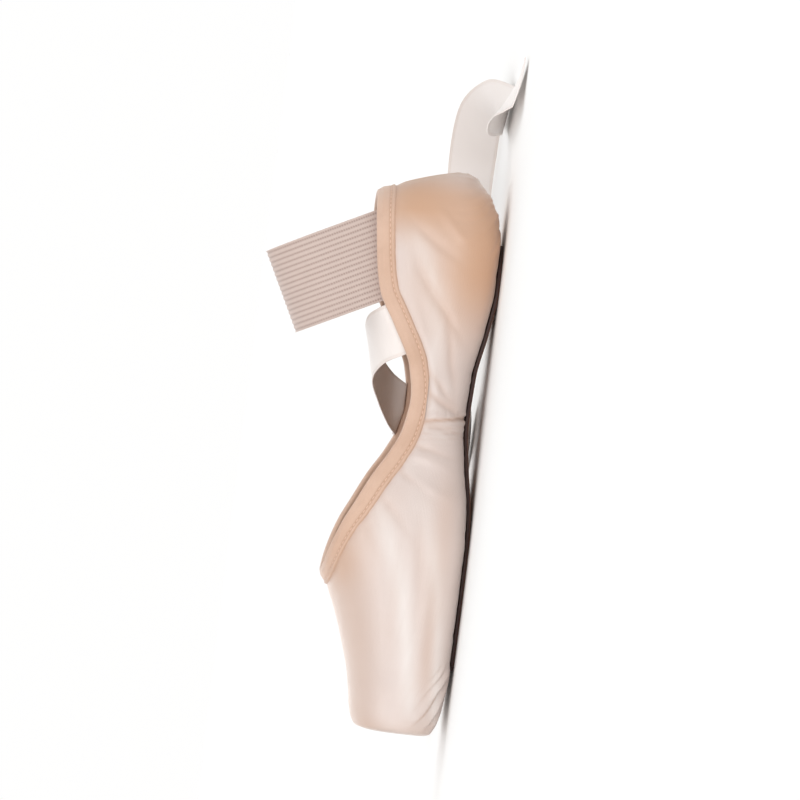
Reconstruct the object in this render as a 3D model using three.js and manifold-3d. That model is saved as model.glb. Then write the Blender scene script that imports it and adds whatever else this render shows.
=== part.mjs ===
// A pointe shoe, empty and standing on its sole, in millimetres.
// The toe points along -X and the heel along +X, +Z is up, and the plane y = 0 halves the shoe.
// The floor is z = 0, and the origin lies on it, under the middle of the shoe's length.
import * as THREE from "three";
import { mergeVertices } from "three/addons/utils/BufferGeometryUtils.js";
import Module from "manifold-3d";

const wasm = await Module();
wasm.setup();

// Length and widths of the last, outside the satin
const LENGTH = 234;
const PLATFORM_WIDTH = 46;
const BOX_WIDTH = 59;
const BALL_WIDTH = 76;
const WAIST_WIDTH = 57;
const HEEL_WIDTH = 56;

// Heights of the last above the upper's underside
const PLATFORM_HEIGHT = 26;
const BOX_HEIGHT = 37;
const INSTEP_HEIGHT = 56.5;
const ANKLE_HEIGHT = 69;
const HEEL_BULGE_HEIGHT = 18;

// Lifts of the underside off the plane that the shoe stands on
const TOE_SPRING = 4;
const ARCH_LIFT = 6;

// Walls and layers
const BOX_WALL = 3.2;
const QUARTER_WALL = 1.6;
const OUTSOLE_THICKNESS = 1.8;
const OUTSOLE_BEVEL = 0.7;
const INSOLE_THICKNESS = 1.8;
const LASTED_EDGE = 5;
const FIT_GAP = 0.3;
const CLOTH_GAP = 0.9;

// Outline of the outsole
const OUTSOLE_LENGTH = 178;
const OUTSOLE_SETBACK = 28;
const OUTSOLE_TOE_WIDTH = 38;
const OUTSOLE_BALL_WIDTH = 48;
const OUTSOLE_WAIST_WIDTH = 26;
const OUTSOLE_HEEL_WIDTH = 31;

// Collar and its binding
const THROAT_SETBACK = 62;
const THROAT_HEIGHT = 59.4;
const COLLAR_LOW_HEIGHT = 31;
const COLLAR_HEEL_HEIGHT = 54.5;
const BINDING_WIDTH = 7;
const BINDING_THROAT_WIDTH = 4.4;
const BINDING_RAISE = 0.5;

// Elastic over the ankle
const ELASTIC_WIDTH = 36;
const ELASTIC_THICKNESS = 1.2;
const ELASTIC_SETBACK = 195;
const ELASTIC_LEAN = 27;
const ELASTIC_RISE = 42;
const ELASTIC_SEWN_DEPTH = 12;

// Satin ribbons
const RIBBON_WIDTH = 22;
const RIBBON_THICKNESS = 0.8;
const RIBBON_SETBACK = 166;
const RIBBON_SEWN_DEPTH = 18;
const RIBBON_CROSSING_SETBACK = 133;

// How finely the curved forms are faceted
const STATIONS_PER_ROW = 2;
const FLAT_STEPS = 2;
const LOWER_STEPS = 6;
const UPPER_STEPS = 9;

const SEAT = OUTSOLE_THICKNESS + FIT_GAP;

// Sections of the closed last from toe to heel.
// at: share of the length, half: half width, flat: half width of the level underside,
// under: lift of the underside, widest and top: heights above it, low and high: squareness.
const LAST = [
  { at: 0, half: 0.5 * PLATFORM_WIDTH, flat: 0.3 * PLATFORM_WIDTH, under: 1.5 * TOE_SPRING,
    widest: 0.5 * PLATFORM_HEIGHT, top: PLATFORM_HEIGHT, low: 2.5, high: 2.5 },
  { at: 0.004, half: 0.45 * BOX_WIDTH, flat: 0.27 * BOX_WIDTH, under: 1.1 * TOE_SPRING,
    widest: 0.42 * BOX_HEIGHT, top: 0.84 * BOX_HEIGHT, low: 2.5, high: 2.5 },
  { at: 0.015, half: 0.474 * BOX_WIDTH, flat: 0.29 * BOX_WIDTH, under: 0.8 * TOE_SPRING,
    widest: 0.43 * BOX_HEIGHT, top: 0.92 * BOX_HEIGHT, low: 2.5, high: 2.45 },
  { at: 0.034, half: 0.49 * BOX_WIDTH, flat: 0.31 * BOX_WIDTH, under: 0.55 * TOE_SPRING,
    widest: 0.44 * BOX_HEIGHT, top: 0.985 * BOX_HEIGHT, low: 2.5, high: 2.4 },
  { at: 0.065, half: 0.505 * BOX_WIDTH, flat: 0.34 * BOX_WIDTH, under: 0.3 * TOE_SPRING,
    widest: 0.44 * BOX_HEIGHT, top: 1.045 * BOX_HEIGHT, low: 2.5, high: 2.35 },
  { at: 0.12, half: 0.435 * BALL_WIDTH, flat: 0.28 * BALL_WIDTH, under: 0,
    widest: 0.3 * INSTEP_HEIGHT, top: 0.76 * INSTEP_HEIGHT, low: 2.5, high: 2.3 },
  { at: 0.19, half: 0.47 * BALL_WIDTH, flat: 0.31 * BALL_WIDTH, under: 0,
    widest: 0.3 * INSTEP_HEIGHT, top: 0.86 * INSTEP_HEIGHT, low: 2.5, high: 2.25 },
  { at: 0.265, half: 0.495 * BALL_WIDTH, flat: 0.335 * BALL_WIDTH, under: 0,
    widest: 0.3 * INSTEP_HEIGHT, top: INSTEP_HEIGHT, low: 2.5, high: 2.2 },
  { at: 0.33, half: 0.5 * BALL_WIDTH, flat: 0.335 * BALL_WIDTH, under: 0,
    widest: 0.28 * INSTEP_HEIGHT, top: 0.93 * ANKLE_HEIGHT, low: 2.5, high: 2.2 },
  { at: 0.4, half: 0.478 * BALL_WIDTH, flat: 0.29 * BALL_WIDTH, under: 0.14 * ARCH_LIFT,
    widest: 0.25 * ANKLE_HEIGHT, top: 0.98 * ANKLE_HEIGHT, low: 2.4, high: 2.2 },
  { at: 0.48, half: 0.56 * WAIST_WIDTH, flat: 0.3 * WAIST_WIDTH, under: 0.62 * ARCH_LIFT,
    widest: 0.25 * ANKLE_HEIGHT, top: ANKLE_HEIGHT, low: 2.2, high: 2.2 },
  { at: 0.56, half: 0.512 * WAIST_WIDTH, flat: 0.245 * WAIST_WIDTH, under: 0.96 * ARCH_LIFT,
    widest: 0.25 * ANKLE_HEIGHT, top: ANKLE_HEIGHT, low: 2.1, high: 2.2 },
  { at: 0.64, half: 0.495 * WAIST_WIDTH, flat: 0.245 * WAIST_WIDTH, under: 0.86 * ARCH_LIFT,
    widest: 0.26 * ANKLE_HEIGHT, top: ANKLE_HEIGHT, low: 2.1, high: 2.25 },
  { at: 0.72, half: 0.492 * HEEL_WIDTH, flat: 0.27 * HEEL_WIDTH, under: 0.36 * ARCH_LIFT,
    widest: 0.28 * ANKLE_HEIGHT, top: ANKLE_HEIGHT, low: 2.1, high: 2.3 },
  { at: 0.8, half: 0.5 * HEEL_WIDTH, flat: 0.295 * HEEL_WIDTH, under: 0,
    widest: 0.29 * ANKLE_HEIGHT, top: ANKLE_HEIGHT, low: 2.1, high: 2.3 },
  { at: 0.87, half: 0.494 * HEEL_WIDTH, flat: 0.29 * HEEL_WIDTH, under: 0,
    widest: 1.08 * HEEL_BULGE_HEIGHT, top: 0.98 * ANKLE_HEIGHT, low: 2.05, high: 2.3 },
  { at: 0.915, half: 0.462 * HEEL_WIDTH, flat: 0.2 * HEEL_WIDTH, under: 0.06 * HEEL_BULGE_HEIGHT,
    widest: HEEL_BULGE_HEIGHT, top: 0.9 * ANKLE_HEIGHT, low: 2, high: 2.25 },
  { at: 0.949, half: 0.4 * HEEL_WIDTH, flat: 0.12 * HEEL_WIDTH, under: 0.22 * HEEL_BULGE_HEIGHT,
    widest: 0.84 * HEEL_BULGE_HEIGHT, top: 0.71 * ANKLE_HEIGHT, low: 2, high: 2.15 },
  { at: 0.975, half: 0.305 * HEEL_WIDTH, flat: 0.06 * HEEL_WIDTH, under: 0.45 * HEEL_BULGE_HEIGHT,
    widest: 0.6 * HEEL_BULGE_HEIGHT, top: 0.46 * ANKLE_HEIGHT, low: 2, high: 2.05 },
  { at: 0.992, half: 0.18 * HEEL_WIDTH, flat: 0.03 * HEEL_WIDTH, under: 0.7 * HEEL_BULGE_HEIGHT,
    widest: 0.32 * HEEL_BULGE_HEIGHT, top: 0.22 * ANKLE_HEIGHT, low: 2, high: 2 },
  { at: 1, half: 0.06 * HEEL_WIDTH, flat: 0.01 * HEEL_WIDTH, under: 0.9 * HEEL_BULGE_HEIGHT,
    widest: 0.1 * HEEL_BULGE_HEIGHT, top: 0.06 * ANKLE_HEIGHT, low: 2, high: 2 },
];

// Outline of the outsole, at: share of its own length, half: half width
const OUTSOLE = [
  { at: 0, half: 0.39 * OUTSOLE_TOE_WIDTH },
  { at: 0.012, half: 0.47 * OUTSOLE_TOE_WIDTH },
  { at: 0.04, half: 0.505 * OUTSOLE_TOE_WIDTH },
  { at: 0.13, half: 0.47 * OUTSOLE_BALL_WIDTH },
  { at: 0.24, half: 0.5 * OUTSOLE_BALL_WIDTH },
  { at: 0.33, half: 0.46 * OUTSOLE_BALL_WIDTH },
  { at: 0.42, half: 0.37 * OUTSOLE_BALL_WIDTH },
  { at: 0.51, half: 0.555 * OUTSOLE_WAIST_WIDTH },
  { at: 0.6, half: 0.5 * OUTSOLE_WAIST_WIDTH },
  { at: 0.69, half: 0.5 * OUTSOLE_WAIST_WIDTH },
  { at: 0.78, half: 0.46 * OUTSOLE_HEEL_WIDTH },
  { at: 0.87, half: 0.5 * OUTSOLE_HEEL_WIDTH },
  { at: 0.93, half: 0.47 * OUTSOLE_HEEL_WIDTH },
  { at: 0.97, half: 0.37 * OUTSOLE_HEEL_WIDTH },
  { at: 0.992, half: 0.21 * OUTSOLE_HEEL_WIDTH },
  { at: 1, half: 0.07 * OUTSOLE_HEEL_WIDTH },
];

// Height of the collar's edge from the throat to the back of the heel.
// at: share of the way from the throat to the heel's end, height: above the floor
const COLLAR = [
  { at: -0.06, height: 1.05 * THROAT_HEIGHT },
  { at: 0, height: THROAT_HEIGHT },
  { at: 0.055, height: 0.965 * THROAT_HEIGHT },
  { at: 0.125, height: 0.9 * THROAT_HEIGHT },
  { at: 0.18, height: 0.825 * THROAT_HEIGHT },
  { at: 0.245, height: 0.735 * THROAT_HEIGHT },
  { at: 0.31, height: 1.2 * COLLAR_LOW_HEIGHT },
  { at: 0.37, height: 1.06 * COLLAR_LOW_HEIGHT },
  { at: 0.445, height: COLLAR_LOW_HEIGHT },
  { at: 0.52, height: 1.07 * COLLAR_LOW_HEIGHT },
  { at: 0.62, height: 0.77 * COLLAR_HEEL_HEIGHT },
  { at: 0.695, height: 0.9 * COLLAR_HEEL_HEIGHT },
  { at: 0.8, height: 0.965 * COLLAR_HEEL_HEIGHT },
  { at: 0.93, height: COLLAR_HEEL_HEIGHT },
  { at: 1.1, height: COLLAR_HEEL_HEIGHT },
];

// The left ribbon's way over the opening, and how both ribbons lie on the floor beside the shoe.
// They stand on one edge where they bend, as cloth tape does. x, y: the middle line,
// edge: height of the lower edge, yaw: turn of the width from +X seen from above,
// roll: how far the width leans up, in degrees
const LEFT_CROSSING = [
  { x: 44, y: -17, edge: 43, yaw: 20, roll: 24 },
  { x: 37, y: -4, edge: 47, yaw: 28, roll: 12 },
  { x: 28, y: 10, edge: 43, yaw: 24, roll: 4 },
  { x: 20, y: 19.5, edge: 37.5, yaw: 12, roll: 0 },
];
const LEFT_FLOOR = [
  { x: 15, y: 35.5, edge: 13.5, yaw: 0, roll: 0 },
  { x: 13, y: 42, edge: 3.5, yaw: 6, roll: 0 },
  { x: 8, y: 55, edge: 0, yaw: 26, roll: 2 },
  { x: -12, y: 79, edge: 0, yaw: 52, roll: 22 },
  { x: -42, y: 90, edge: 0, yaw: 84, roll: 30 },
  { x: -74, y: 92, edge: 0, yaw: 84, roll: 12 },
  { x: -102, y: 104, edge: 0, yaw: 52, roll: -34 },
  { x: -112, y: 132, edge: 0, yaw: -4, roll: -62 },
  { x: -94, y: 157, edge: 0, yaw: -60, roll: -60 },
  { x: -64, y: 160, edge: 0, yaw: -96, roll: -26 },
  { x: -34, y: 153, edge: 0, yaw: -100, roll: -4 },
  { x: -6, y: 149, edge: 0, yaw: -94, roll: 6 },
];
const RIGHT_FLOOR = [
  { x: 61, y: 35, edge: 13, yaw: 2, roll: 26 },
  { x: 65.5, y: 40, edge: 5.5, yaw: 2, roll: 16 },
  { x: 70, y: 48, edge: 1.5, yaw: -4, roll: 7 },
  { x: 75, y: 62, edge: 0, yaw: -16, roll: 2 },
  { x: 84, y: 93, edge: 0, yaw: -16, roll: -10 },
  { x: 97, y: 123, edge: 0, yaw: -36, roll: -44 },
  { x: 122, y: 139, edge: 0, yaw: -80, roll: -64 },
  { x: 147, y: 124, edge: 0, yaw: -140, roll: -60 },
  { x: 153, y: 95, edge: 0, yaw: -176, roll: -26 },
  { x: 149, y: 64, edge: 0, yaw: -186, roll: 4 },
  { x: 146, y: 33, edge: 0, yaw: -182, roll: 22 },
  { x: 150, y: 3, edge: 0, yaw: -168, roll: 26 },
  { x: 156, y: -26, edge: 0, yaw: -170, roll: 8 },
];

// Reads one column of a table at a place between its rows, without overshoot.
function column(rows, name, place) {
  const last = rows.length - 1;
  const index = Math.min(Math.max(Math.floor(place), 0), last - 1);
  const step = (i) => rows[i + 1][name] - rows[i][name];
  const slope = (i) => {
    if (i === 0) return step(0);
    if (i === last) return step(last - 1);
    const before = step(i - 1);
    const after = step(i);
    return before * after > 0 ? (2 * before * after) / (before + after) : 0;
  };
  const t = place - index;
  const from = rows[index][name];
  const rise = rows[index + 1][name] - from;
  const a = slope(index);
  const b = slope(index + 1);
  return from + t * (a + t * (3 * rise - 2 * a - b + t * (a + b - 2 * rise)));
}

// Finds the place between rows where the column "at" has a value.
function placeOf(rows, at) {
  let low = 0;
  let high = rows.length - 1;
  for (let i = 0; i < 40; i += 1) {
    const middle = (low + high) / 2;
    if (column(rows, "at", middle) < at) low = middle;
    else high = middle;
  }
  return (low + high) / 2;
}

const xOf = (share) => (share - 0.5) * LENGTH;
const shareOf = (x) => x / LENGTH + 0.5;
const wallAt = (share) => THREE.MathUtils.lerp(
  BOX_WALL,
  QUARTER_WALL,
  THREE.MathUtils.smoothstep(share, 0.18, 0.36),
);

// One section of the last at a place in its table.
function sectionAt(place) {
  const read = (name) => column(LAST, name, place);
  const under = SEAT + read("under");
  return {
    x: xOf(read("at")),
    half: read("half"),
    flat: read("flat"),
    under,
    widest: under + read("widest"),
    top: under + read("top"),
    low: read("low"),
    high: read("high"),
  };
}

// The right half of a section from under the middle of the foot to over it.
function halfRing(s) {
  const points = [];
  for (let i = 0; i < FLAT_STEPS; i += 1) {
    points.push([(s.flat * i) / FLAT_STEPS, s.under]);
  }
  for (let i = 0; i < LOWER_STEPS; i += 1) {
    const a = (Math.PI / 2) * (1 - i / LOWER_STEPS);
    const out = Math.max(Math.cos(a), 0) ** (2 / s.low);
    const down = Math.sin(a) ** (2 / s.low);
    points.push([s.flat + (s.half - s.flat) * out, s.widest - (s.widest - s.under) * down]);
  }
  for (let i = 0; i <= UPPER_STEPS; i += 1) {
    const a = (Math.PI / 2) * (i / UPPER_STEPS);
    const out = Math.max(Math.cos(a), 0) ** (2 / s.high);
    const up = Math.sin(a) ** (2 / s.high);
    points.push([s.half * out, s.widest + (s.top - s.widest) * up]);
  }
  return points;
}

function ringAt(place) {
  const s = sectionAt(place);
  const right = halfRing(s);
  const left = right.slice(1, -1).reverse().map(([y, z]) => [-y, z]);
  return [...right, ...left].map(([y, z]) => new THREE.Vector3(s.x, y, z));
}

// A closed geometry from triangles given as points.
function fromTriangles(triangles) {
  const geometry = new THREE.BufferGeometry();
  const flat = new Float32Array(triangles.flatMap((point) => [point.x, point.y, point.z]));
  geometry.setAttribute("position", new THREE.BufferAttribute(flat, 3));
  return mergeVertices(geometry, 1e-4);
}

// Skins a row of closed rings and closes both ends with fans.
function skin(rings) {
  const triangles = [];
  const count = rings[0].length;
  for (let i = 0; i + 1 < rings.length; i += 1) {
    for (let j = 0; j < count; j += 1) {
      const k = (j + 1) % count;
      const [a, b, c, d] = [rings[i][j], rings[i][k], rings[i + 1][k], rings[i + 1][j]];
      triangles.push(a, b, c, a, c, d);
    }
  }
  for (const [ring, facing] of [[rings[0], -1], [rings[rings.length - 1], 1]]) {
    const middle = ring.reduce((sum, p) => sum.add(p), new THREE.Vector3()).divideScalar(count);
    for (let j = 0; j < count; j += 1) {
      const k = (j + 1) % count;
      if (facing > 0) triangles.push(ring[j], ring[k], middle);
      else triangles.push(ring[k], ring[j], middle);
    }
  }
  return fromTriangles(triangles);
}

// The closed last grown outwards along its normals by a distance that may vary along the foot.
function lastGrownBy(distanceAt) {
  const last = LAST.length - 1;
  const rings = [];
  for (let i = 0; i <= last * STATIONS_PER_ROW; i += 1) {
    const place = i / STATIONS_PER_ROW;
    const ring = ringAt(place);
    const before = ringAt(Math.max(place - 0.05, 0));
    const after = ringAt(Math.min(place + 0.05, last));
    const distance = distanceAt(shareOf(ring[0].x));
    const count = ring.length;
    rings.push(ring.map((point, j) => {
      const along = after[j].clone().sub(before[j]);
      const around = ring[(j + 1) % count].clone().sub(ring[(j + count - 1) % count]);
      const normal = around.cross(along).normalize();
      return point.clone().addScaledVector(normal, distance);
    }));
  }
  return skin(rings);
}

// Half width of the last at a height above the floor, less an inset measured square to its wall
function halfWidth(x, z, inset) {
  const plain = (px, pz) => {
    const s = sectionAt(placeOf(LAST, shareOf(px)));
    if (pz >= s.widest) {
      const up = Math.min((pz - s.widest) / (s.top - s.widest), 1);
      return s.half * (1 - up ** s.high) ** (1 / s.high);
    }
    const down = Math.min((s.widest - pz) / (s.widest - s.under), 1);
    return s.flat + (s.half - s.flat) * (1 - down ** s.low) ** (1 / s.low);
  };
  const here = plain(x, z);
  const slopeX = (plain(x + 1, z) - plain(x - 1, z)) / 2;
  const slopeZ = (plain(x, z + 1) - plain(x, z - 1)) / 2;
  return here - inset * Math.hypot(1, slopeX, slopeZ);
}

const toSolid = (geometry) => {
  const clean = geometry.clone();
  clean.deleteAttribute("normal");
  clean.deleteAttribute("uv");
  const merged = mergeVertices(clean, 1e-4);
  return new wasm.Manifold(new wasm.Mesh({
    numProp: 3,
    vertProperties: merged.attributes.position.array,
    triVerts: new Uint32Array(merged.index.array),
  }));
};

const toGeometry = (solid) => {
  const mesh = solid.getMesh();
  const geometry = new THREE.BufferGeometry();
  geometry.setAttribute("position", new THREE.BufferAttribute(mesh.vertProperties, 3));
  geometry.setIndex(new THREE.BufferAttribute(mesh.triVerts, 1));
  return geometry;
};

// A slab that has an outline in the side view and goes right through the shoe.
function sideSlab(outline) {
  const depth = 2 * BALL_WIDTH;
  const shape = new THREE.Shape(outline.map(([x, z]) => new THREE.Vector2(x, z)));
  const geometry = new THREE.ExtrudeGeometry(shape, { depth, bevelEnabled: false });
  geometry.rotateX(Math.PI / 2);
  geometry.translate(0, depth / 2, 0);
  return toSolid(geometry);
}

// The collar's edge in the side view, as points from in front of the throat to behind the heel.
function collarPoint(place) {
  const along = column(COLLAR, "at", place);
  const x = xOf(0) + THROAT_SETBACK + along * (LENGTH - THROAT_SETBACK);
  return new THREE.Vector2(x, column(COLLAR, "height", place));
}

function collarHeight(x) {
  const along = (x - xOf(0) - THROAT_SETBACK) / (LENGTH - THROAT_SETBACK);
  return column(COLLAR, "height", placeOf(COLLAR, along));
}

const COLLAR_STEPS = 3;

function collarLine(drop) {
  const line = [];
  const last = (COLLAR.length - 1) * COLLAR_STEPS;
  for (let i = 0; i <= last; i += 1) {
    const place = i / COLLAR_STEPS;
    const point = collarPoint(place);
    const ahead = collarPoint(Math.min(place + 0.1, COLLAR.length - 1));
    const behind = collarPoint(Math.max(place - 0.1, 0));
    const along = ahead.sub(behind).normalize();
    const amount = typeof drop === "function" ? drop(place) : drop;
    line.push([point.x + along.y * amount, point.y - along.x * amount]);
  }
  return line;
}

// The binding narrows in the side view where it turns over the instep.
const bindingDrop = (place) => THREE.MathUtils.lerp(
  BINDING_THROAT_WIDTH,
  BINDING_WIDTH,
  THREE.MathUtils.smoothstep(place, 1, 5),
);

const outerForm = toSolid(lastGrownBy(() => 0));
const innerForm = toSolid(lastGrownBy((share) => -wallAt(share)));

const CEILING = 2 * ANKLE_HEIGHT;
const lowerLine = collarLine(bindingDrop);
const aboveLower = sideSlab([
  ...lowerLine,
  [lowerLine[lowerLine.length - 1][0], CEILING],
  [lowerLine[0][0], CEILING],
]);

// Outline of the outsole, or of a piece inside it by an inset
function outsoleOutline(inset) {
  const right = [];
  const last = OUTSOLE.length - 1;
  for (let i = 0; i <= last * 2; i += 1) {
    const share = column(OUTSOLE, "at", i / 2);
    const reach = OUTSOLE_LENGTH / 2 - inset;
    const x = xOf(0) + OUTSOLE_SETBACK + OUTSOLE_LENGTH / 2 + (2 * share - 1) * reach;
    const y = Math.max(column(OUTSOLE, "half", i / 2) - inset, 0.4);
    right.push([x, y]);
  }
  return right;
}

function soleOpening() {
  const right = outsoleOutline(LASTED_EDGE);
  const left = right.slice().reverse().map(([x, y]) => [x, -y]);
  const shape = new THREE.Shape([...right, ...left].map(([x, y]) => new THREE.Vector2(x, y)));
  const depth = SEAT + ARCH_LIFT + 2 * BOX_WALL;
  return toSolid(new THREE.ExtrudeGeometry(shape, { depth, bevelEnabled: false }));
}

const underAt = (x) => sectionAt(placeOf(LAST, shareOf(x))).under;

// A flat piece that follows the underside, with its rings across the foot.
function solePiece(outline, ring) {
  return skin(outline.map(([x, y]) => ring(y, underAt(x)).map(([py, pz]) => (
    new THREE.Vector3(x, py, pz)
  ))));
}

function outsoleGeometry() {
  const ring = (half, under) => {
    const top = under - FIT_GAP;
    const bottom = top - OUTSOLE_THICKNESS;
    const bevel = Math.min(OUTSOLE_BEVEL, half / 2);
    return [
      [0, bottom],
      [half - bevel, bottom],
      [half, bottom + bevel],
      [half, top],
      [0, top],
      [-half, top],
      [-half, bottom + bevel],
      [bevel - half, bottom],
    ];
  };
  return solePiece(outsoleOutline(0), ring);
}

function insoleGeometry() {
  const outline = [];
  const last = LAST.length - 1;
  const from = 4;
  const to = last - 3;
  for (let i = 0; i <= 2 * (to - from); i += 1) {
    const s = sectionAt(from + i / 2);
    outline.push([s.x, s.flat - 2 * FIT_GAP]);
  }
  return skin(outline.map(([x, half]) => {
    const bottom = underAt(x) + wallAt(shareOf(x)) + FIT_GAP;
    const top = bottom + INSOLE_THICKNESS;
    return [
      [0, bottom],
      [half, bottom],
      [half, top],
      [0, top],
      [-half, top],
      [-half, bottom],
    ].map(([y, z]) => new THREE.Vector3(x, y, z));
  }));
}

const upperSolid = outerForm
  .subtract(innerForm)
  .subtract(aboveLower)
  .subtract(soleOpening());

const bandLine = collarLine((place) => bindingDrop(place) - FIT_GAP);
const bandSlab = sideSlab([...collarLine(0), ...bandLine.slice().reverse()]);
const bindingSolid = toSolid(lastGrownBy(() => BINDING_RAISE))
  .subtract(toSolid(lastGrownBy((share) => -wallAt(share) - BINDING_RAISE)))
  .intersect(bandSlab);

// A strip of cloth from its rungs, each a row of points across it.
function strip(rungs, thickness) {
  const across = rungs[0].length - 1;
  return skin(rungs.map((rung, i) => {
    const before = rungs[Math.max(i - 1, 0)];
    const after = rungs[Math.min(i + 1, rungs.length - 1)];
    const normals = rung.map((point, j) => {
      const along = after[j].clone().sub(before[j]);
      const over = rung[Math.min(j + 1, across)].clone().sub(rung[Math.max(j - 1, 0)]);
      return along.cross(over).normalize();
    });
    const lower = rung.map((point, j) => point.clone().addScaledVector(normals[j], -thickness / 2));
    const upper = rung.map((point, j) => point.clone().addScaledVector(normals[j], thickness / 2));
    return [...lower, ...upper.reverse()];
  }));
}

// Half width of the space inside the quarters for a cloth of a thickness, level above the collar
function insideWidth(x, z, thickness) {
  const inset = QUARTER_WALL + BINDING_RAISE + CLOTH_GAP + thickness / 2;
  return halfWidth(x, Math.min(z, collarHeight(x)), inset);
}

function outsideWidth(x, z, thickness) {
  const rise = BINDING_RAISE + CLOTH_GAP + thickness / 2;
  return halfWidth(x, Math.min(z, collarHeight(x)), -rise);
}

const ELASTIC_SEGMENTS = 8;
const ELASTIC_SEWN_STEPS = 4;
const ELASTIC_ARCH_STEPS = 9;
const ELASTIC_SQUARENESS = 2.2;

function elasticGeometry() {
  const lean = THREE.MathUtils.degToRad(ELASTIC_LEAN);
  const baseX = xOf(0) + ELASTIC_SETBACK;
  const baseZ = collarHeight(baseX);
  const point = (share, rise, narrowing, side) => {
    const footX = baseX + share * ELASTIC_WIDTH * Math.cos(lean);
    const footZ = baseZ + share * ELASTIC_WIDTH * Math.sin(lean);
    const x = footX - rise * Math.sin(lean);
    const z = footZ + rise * Math.cos(lean);
    const sewn = insideWidth(x, z, ELASTIC_THICKNESS);
    const arched = insideWidth(footX, footZ, ELASTIC_THICKNESS) * narrowing;
    return new THREE.Vector3(x, side * Math.min(sewn, arched), z);
  };
  const levels = [];
  for (let i = 0; i < ELASTIC_SEWN_STEPS; i += 1) {
    levels.push([-ELASTIC_SEWN_DEPTH * (1 - i / ELASTIC_SEWN_STEPS), 1]);
  }
  for (let i = 0; i <= ELASTIC_ARCH_STEPS; i += 1) {
    const a = (Math.PI / 2) * (i / ELASTIC_ARCH_STEPS);
    const power = 2 / ELASTIC_SQUARENESS;
    levels.push([ELASTIC_RISE * Math.sin(a) ** power, Math.max(Math.cos(a), 0) ** power]);
  }
  const shares = Array.from({ length: ELASTIC_SEGMENTS + 1 }, (unused, i) => i / ELASTIC_SEGMENTS - 0.5);
  const rung = ([rise, narrowing], side) => shares.map((k) => point(k, rise, narrowing, side));
  const near = levels.map((level) => rung(level, -1));
  const far = levels.slice(0, -1).reverse().map((level) => rung(level, 1));
  return strip([...near, ...far], ELASTIC_THICKNESS);
}

const ACROSS = [-0.5, 0, 0.5];

// Rungs of a ribbon at the collar, each at a height above the collar's edge, measured square to it.
// reach: 0 on the inner side of the binding, 1 on its outer side
function rimRungs(side, setback, steps) {
  const middle = xOf(0) + setback;
  const slope = (collarHeight(middle + 5) - collarHeight(middle - 5)) / 10;
  const lean = Math.atan(slope);
  return steps.map(([height, reach, swing]) => ACROSS.map((share) => {
    const footX = middle + share * RIBBON_WIDTH * Math.cos(lean);
    const x = footX - height * Math.sin(lean);
    const z = collarHeight(footX) + height * Math.cos(lean);
    const inner = insideWidth(x, z, RIBBON_THICKNESS);
    const outer = outsideWidth(x, z, RIBBON_THICKNESS);
    return new THREE.Vector3(x, side * (inner + reach * (outer - inner) + swing), z);
  }));
}

const OVER_THE_RIM = [
  [0.6, 0, 0],
  [1.5, 0.5, 0],
  [0.6, 1, 0],
  [-2, 1, 0.1],
  [-6, 1, 0.3],
  [-11, 1, 1],
];
const SEWN_STEPS = [1, 0.7, 0.4, 0.15].map((share) => [-share * RIBBON_SEWN_DEPTH, 0, 0]);

const rungOf = (row) => {
  const yaw = THREE.MathUtils.degToRad(row.yaw);
  const roll = THREE.MathUtils.degToRad(row.roll);
  const over = new THREE.Vector3(
    Math.cos(yaw) * Math.cos(roll),
    Math.sin(yaw) * Math.cos(roll),
    Math.sin(roll),
  );
  const rise = (RIBBON_WIDTH / 2) * Math.abs(Math.sin(roll)) + RIBBON_THICKNESS / 2 + FIT_GAP;
  const middle = new THREE.Vector3(row.x, row.y, row.edge + rise);
  return ACROSS.map((share) => middle.clone().addScaledVector(over, share * RIBBON_WIDTH));
};

// Adds two rungs between each pair, on smooth curves through the knots.
function smoothRungs(knots) {
  const perKnot = 3;
  const count = (knots.length - 1) * perKnot;
  const tracks = ACROSS.map((share, j) => new THREE.CatmullRomCurve3(knots.map((rung) => rung[j])));
  return Array.from({ length: count + 1 }, (unused, i) => (
    tracks.map((track) => track.getPoint(i / count))
  ));
}

// The rungs that touch the shoe stay as they are, and the free ones between and after are smoothed.
function freeRungs(before, rows, after) {
  const knots = [before[before.length - 1], ...rows.map(rungOf), ...after.slice(0, 1)];
  const rungs = smoothRungs(knots).slice(1);
  return after.length ? rungs.slice(0, -1) : rungs;
}

function leftRibbon() {
  const sewn = rimRungs(-1, RIBBON_SETBACK, [...SEWN_STEPS, [2, 0, 0]]);
  const rim = rimRungs(1, RIBBON_CROSSING_SETBACK, OVER_THE_RIM);
  const over = freeRungs(sewn, LEFT_CROSSING, rim);
  const floor = freeRungs(rim, LEFT_FLOOR, []);
  return strip([...sewn, ...over, ...rim, ...floor], RIBBON_THICKNESS);
}

function rightRibbon() {
  const sewn = rimRungs(1, RIBBON_SETBACK, [...SEWN_STEPS, ...OVER_THE_RIM]);
  const floor = freeRungs(sewn, RIGHT_FLOOR, []);
  return strip([...sewn, ...floor], RIBBON_THICKNESS);
}

const shoe = new THREE.Group();
const material = (color, roughness) => new THREE.MeshStandardMaterial({
  color,
  roughness,
  metalness: 0,
});
const satin = material("#ecd9cf", 0.35);

function piece(name, geometry, look) {
  const mesh = new THREE.Mesh(geometry, look);
  mesh.name = name;
  shoe.add(mesh);
}

piece("outsole", outsoleGeometry(), material("#be8260", 0.6));
piece("upper", toGeometry(upperSolid), satin);
piece("insole", insoleGeometry(), material("#d8c0a0", 0.8));
piece("collar_binding", toGeometry(bindingSolid), material("#f0d6c3", 0.6));
piece("elastic_band", elasticGeometry(), material("#cdb4aa", 0.7));
const ribbonSatin = material("#f0e6e1", 0.3);
piece("ribbon_left", leftRibbon(), ribbonSatin);
piece("ribbon_right", rightRibbon(), ribbonSatin);

export default shoe;
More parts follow.
